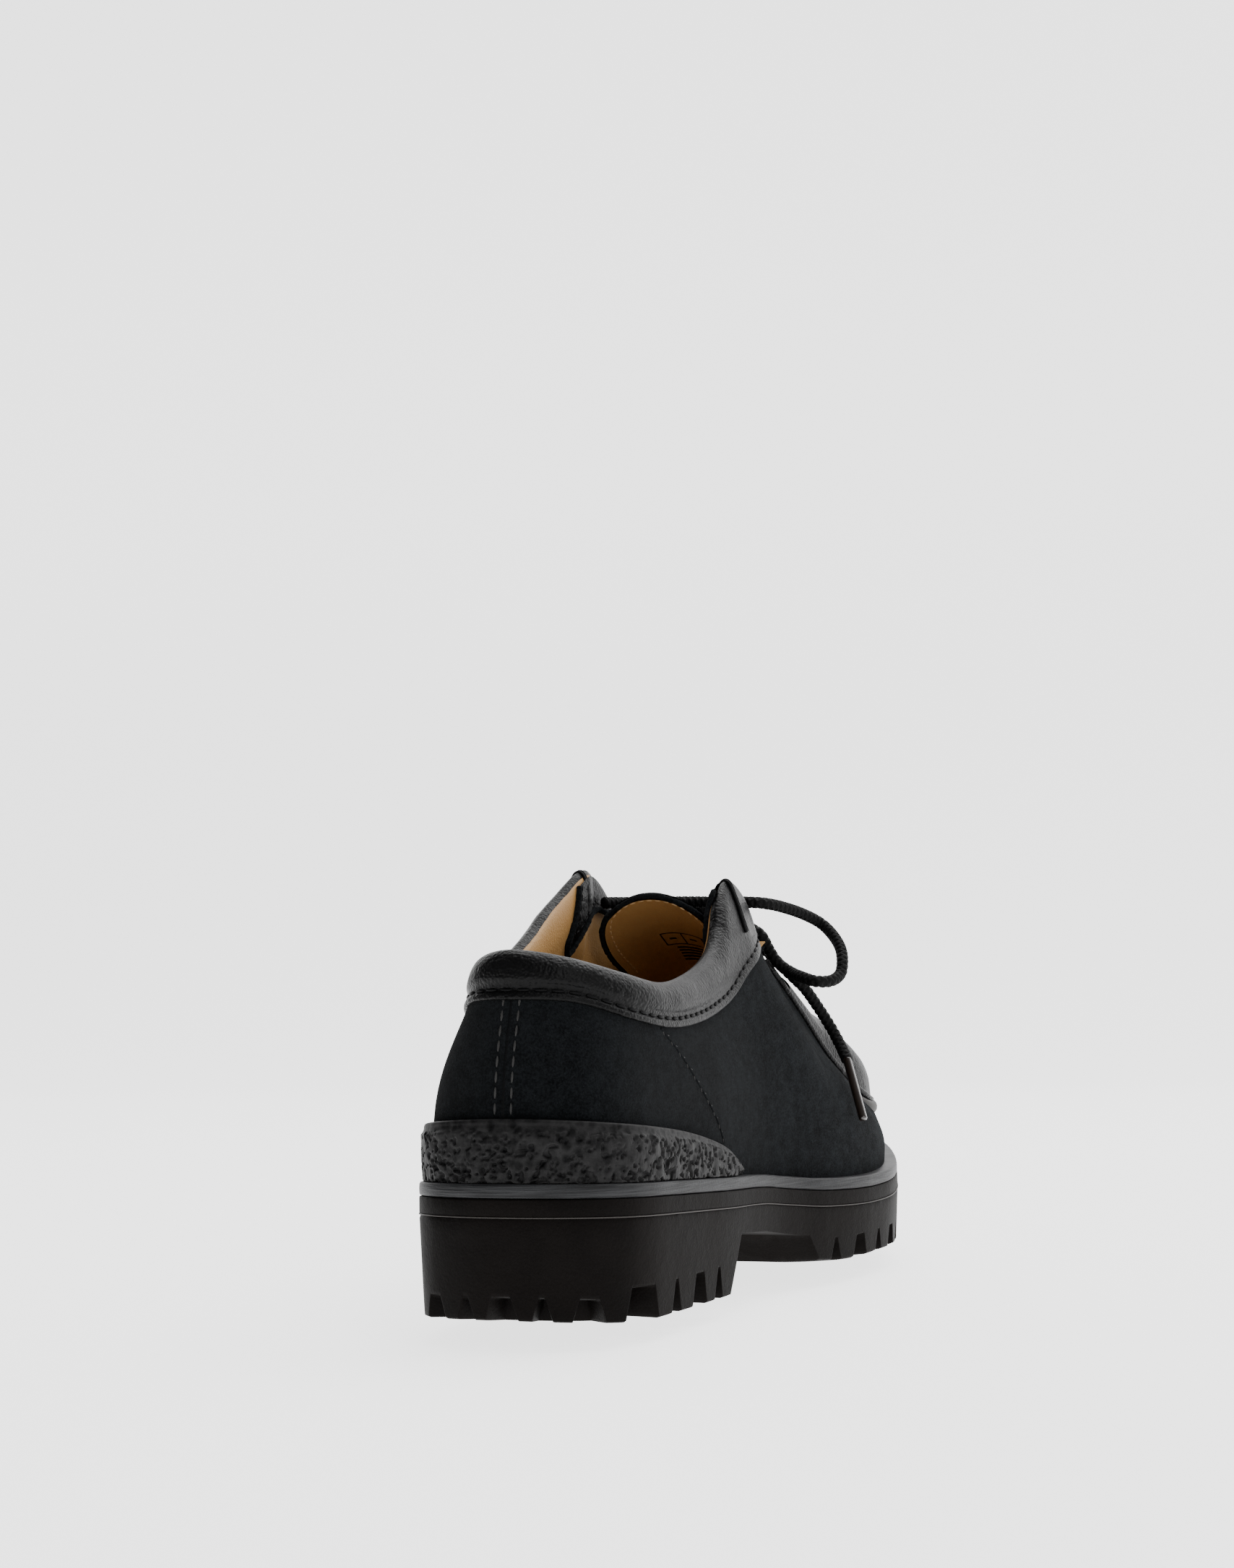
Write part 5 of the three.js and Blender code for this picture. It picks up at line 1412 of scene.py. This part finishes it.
INNER_END = [
    (3.2, 170.7, 109.4), (-4, 173, 109.6), (-12, 175, 108.5), (-20, 176, 105.5),
    (-27, 177.5, 100.5), (-33, 180, 94), (-37, 183, 87), (-40.5, 185.5, 80), (-44, 186.5, 73.5),
    (-47, 186.5, 67),
]
INNER_TIP = (-53.2, 186, 48)
# Half of a crossing: share of the way out to the eyelet, share of the way up to the crest.
CROSSING_RISE = ((1, 0), (1, 0.35), (1, 0.7), (0.9, 0.94))
CROSSING_TOP = (0.7, 0.37)


def braid():
    """Black braid: its colour varies in very fine clouds."""
    made = Finish("black braid")
    fine = made.place.noise(2600, 2)
    made.set("Base Color", fine.blend(BRAID_DARK, BRAID_PALE))
    made.set("Roughness", 0.6)
    made.set("Specular IOR Level", 0.07)
    made.bump(fine * 0.00015)
    return made.material


def lace_piece(name, path, radius, material):
    """Tube along a path, as one piece of the lace."""
    grid = tube(path, radius, 20)
    return surface(name, grid, material, uv=lengths(grid), loop=True)


def braided(path):
    """Radius of the braid: the higher of two waves that wind along it in opposite directions."""
    angle = BRAID_STRANDS * np.linspace(0, 2 * np.pi, 21)[None]
    phase = travelled(path)[:, None] * 2 * np.pi / BRAID_PITCH
    ribs = np.maximum(np.sin(phase + angle), np.sin(phase - angle))
    return LACE / 2 + BRAID_RELIEF * ribs - BRAID_SINK


def in_frame(point):
    """A point in metres from the frame's origin."""
    return tuple((np.array(point, float) - CENTRE) * MM)


def crossing(y, name, material):
    """Curve up out of one eyelet, over the tongue and down into the other."""
    radius = LACE / 2
    crest = tongue_top(0, y - radius) + CREST_GAP + radius
    foot = tongue_top(EYELET_OUT, y - radius) + EYELET_GAP
    half = [(out * EYELET_OUT, y, mix(foot, crest, up)) for out, up in CROSSING_RISE]
    half += [(out * EYELET_OUT, y, crest + CREST_GAP) for out in CROSSING_TOP]
    other = [(-x, across, z) for x, across, z in half[::-1]]
    path = curve_through([*half, (0, y, crest + CREST_GAP), *other], 260)
    join_piece(lace_piece(name, path, braided(path), material), "lace", name)


def aglet_finish():
    """Brown-black tip under clear gloss."""
    made = Finish("clear tip")
    made.set("Base Color", AGLET_BROWN)
    made.set("Roughness", 0.3)
    made.set("Specular IOR Level", 0.15)
    made.set("Coat Weight", 1.0)
    made.set("Coat Roughness", 0.05)
    return made.material


def lace(material, tip):
    """Crossings, a helix for the knot, and curves through points for the loops and ends."""
    crossing(LOWER_EYELETS, "lace_crossing_lower", material)
    crossing(UPPER_EYELETS, "lace_crossing_upper", material)
    spread = np.array([KNOT_SPREAD, 0, 0])
    t = np.linspace(0, 1, 260)[:, None]
    middle = mix(np.array(KNOT_FROM, float) - spread, np.array(KNOT_TO, float) + spread, t)
    angle = t * 2 * np.pi * KNOT_TURNS
    wrap = middle + np.hstack([0 * t, KNOT_RADIUS * np.cos(angle), KNOT_RADIUS * np.sin(angle)])
    knot = join_piece(lace_piece("lace_knot", wrap, braided(wrap), material), "lace", "lace_knot")
    for name, points in (("lace_loop_outer", OUTER_LOOP), ("lace_loop_inner", INNER_LOOP)):
        path = curve_through(points, 800)
        loop = join_piece(lace_piece(name, path, braided(path), material), "lace", name)
    for side, points, end in (("outer", OUTER_END, OUTER_TIP), ("inner", INNER_END, INNER_TIP)):
        name, path = f"lace_end_{side}", curve_through(points, 320)
        piece = join_piece(lace_piece(name, path, braided(path), material), "lace", name)
        last, end = np.array(points[-1], float), np.array(end, float)
        start = last - AGLET_OVERLAP * unit(end - last)
        radius = np.full(60, AGLET_RADIUS)
        radius[[0, -1]] = AGLET_END_RADIUS
        way = mix(start, end, np.linspace(0, 1, 60)[:, None])
        made = join_piece(lace_piece(f"aglet_{side}", way, radius, tip), "tip", f"aglet_{side}")


lace(braid(), aglet_finish())


# Floor and backdrop: one plain pale sweep, with a large soft light above the shoe and another
# from behind the camera.
SWEEP_HALF_WIDTH = 6000
SWEEP = ((-4000, 0), (1200, 0), (1800, 60), (2300, 420), (2500, 1000), (2500, 5000))
SWEEP_STEPS = 60
SWEEP_GREY, SWEEP_GLOW = (0.42, 0.42, 0.42), 2.3
SKY = 0.15
LIGHTS = (("top", (0.3, 0.35, 1.5), 1.5, 34), ("side", (1.5, -1.3, 1.1), 1.0, 16))
LIGHT_AIM = (0, 0, 0.06)


def backdrop_finish():
    """Matt pale grey with a glow of its own."""
    made = Finish("backdrop")
    made.set("Base Color", SWEEP_GREY)
    made.set("Emission Color", (1.0, 1.0, 1.0))
    made.set("Emission Strength", SWEEP_GLOW)
    made.set("Roughness", 0.9)
    made.set("Specular IOR Level", 0.1)
    return made.material


def backdrop(material):
    """Curve from the floor up the wall, drawn out to both sides."""
    y, z = curve_through(SWEEP, SWEEP_STEPS).T
    sides = np.linspace(-SWEEP_HALF_WIDTH, SWEEP_HALF_WIDTH, 3)
    grid = np.stack([np.column_stack([np.full(SWEEP_STEPS, x), y, z]) for x in sides], 0)
    surface("backdrop", grid, material)


def placed(name, data, columns, place):
    """Object of a light or camera at a place, turned to three directions."""
    obj = bpy.data.objects.new(name, data)
    bpy.context.collection.objects.link(obj)
    turn = Matrix(np.column_stack(columns).tolist()).to_4x4()
    turn.translation = place
    obj.matrix_world = turn
    return obj


def studio():
    """Even sky, and square lights that look along the line from their place to the shoe."""
    world = bpy.data.worlds.new("studio")
    bpy.context.scene.world = world
    world.use_nodes = True
    sky = world.node_tree.nodes["Background"]
    sky.inputs[0].default_value = (1, 1, 1, 1)
    sky.inputs[1].default_value = SKY
    for name, place, size, power in LIGHTS:
        data = bpy.data.lights.new(name, "AREA")
        data.size, data.energy = size, power
        back = unit(np.array(place) - LIGHT_AIM)
        across = unit(np.cross([0, 0, 1.0], back))
        placed(name, data, [across, np.cross(back, across), back], place)


backdrop(backdrop_finish())
studio()


# Camera: the photo's view, from behind on the shoe's outer side and a little above the floor.
# Its place and its three directions were worked out from the photo on the sole's length.
CAMERA_PLACE = (241.78, -542.71, 83.45)
CAMERA_RIGHT = (0.93446, 0.35552, -0.01953)
CAMERA_UP = (0.05506, -0.0901, 0.99441)
CAMERA_AHEAD = (-0.35178, 0.93031, 0.10377)
CAMERA_LENS, CAMERA_SENSOR = 50.13, 36


def camera():
    """Camera whose sensor fits the photo's height."""
    data = bpy.data.cameras.new("camera")
    data.sensor_fit = "VERTICAL"
    data.sensor_width = data.sensor_height = CAMERA_SENSOR
    data.lens = CAMERA_LENS
    columns = [CAMERA_RIGHT, CAMERA_UP, -np.array(CAMERA_AHEAD)]
    return placed("camera", data, columns, in_frame(CAMERA_PLACE))


bpy.context.scene.camera = camera()
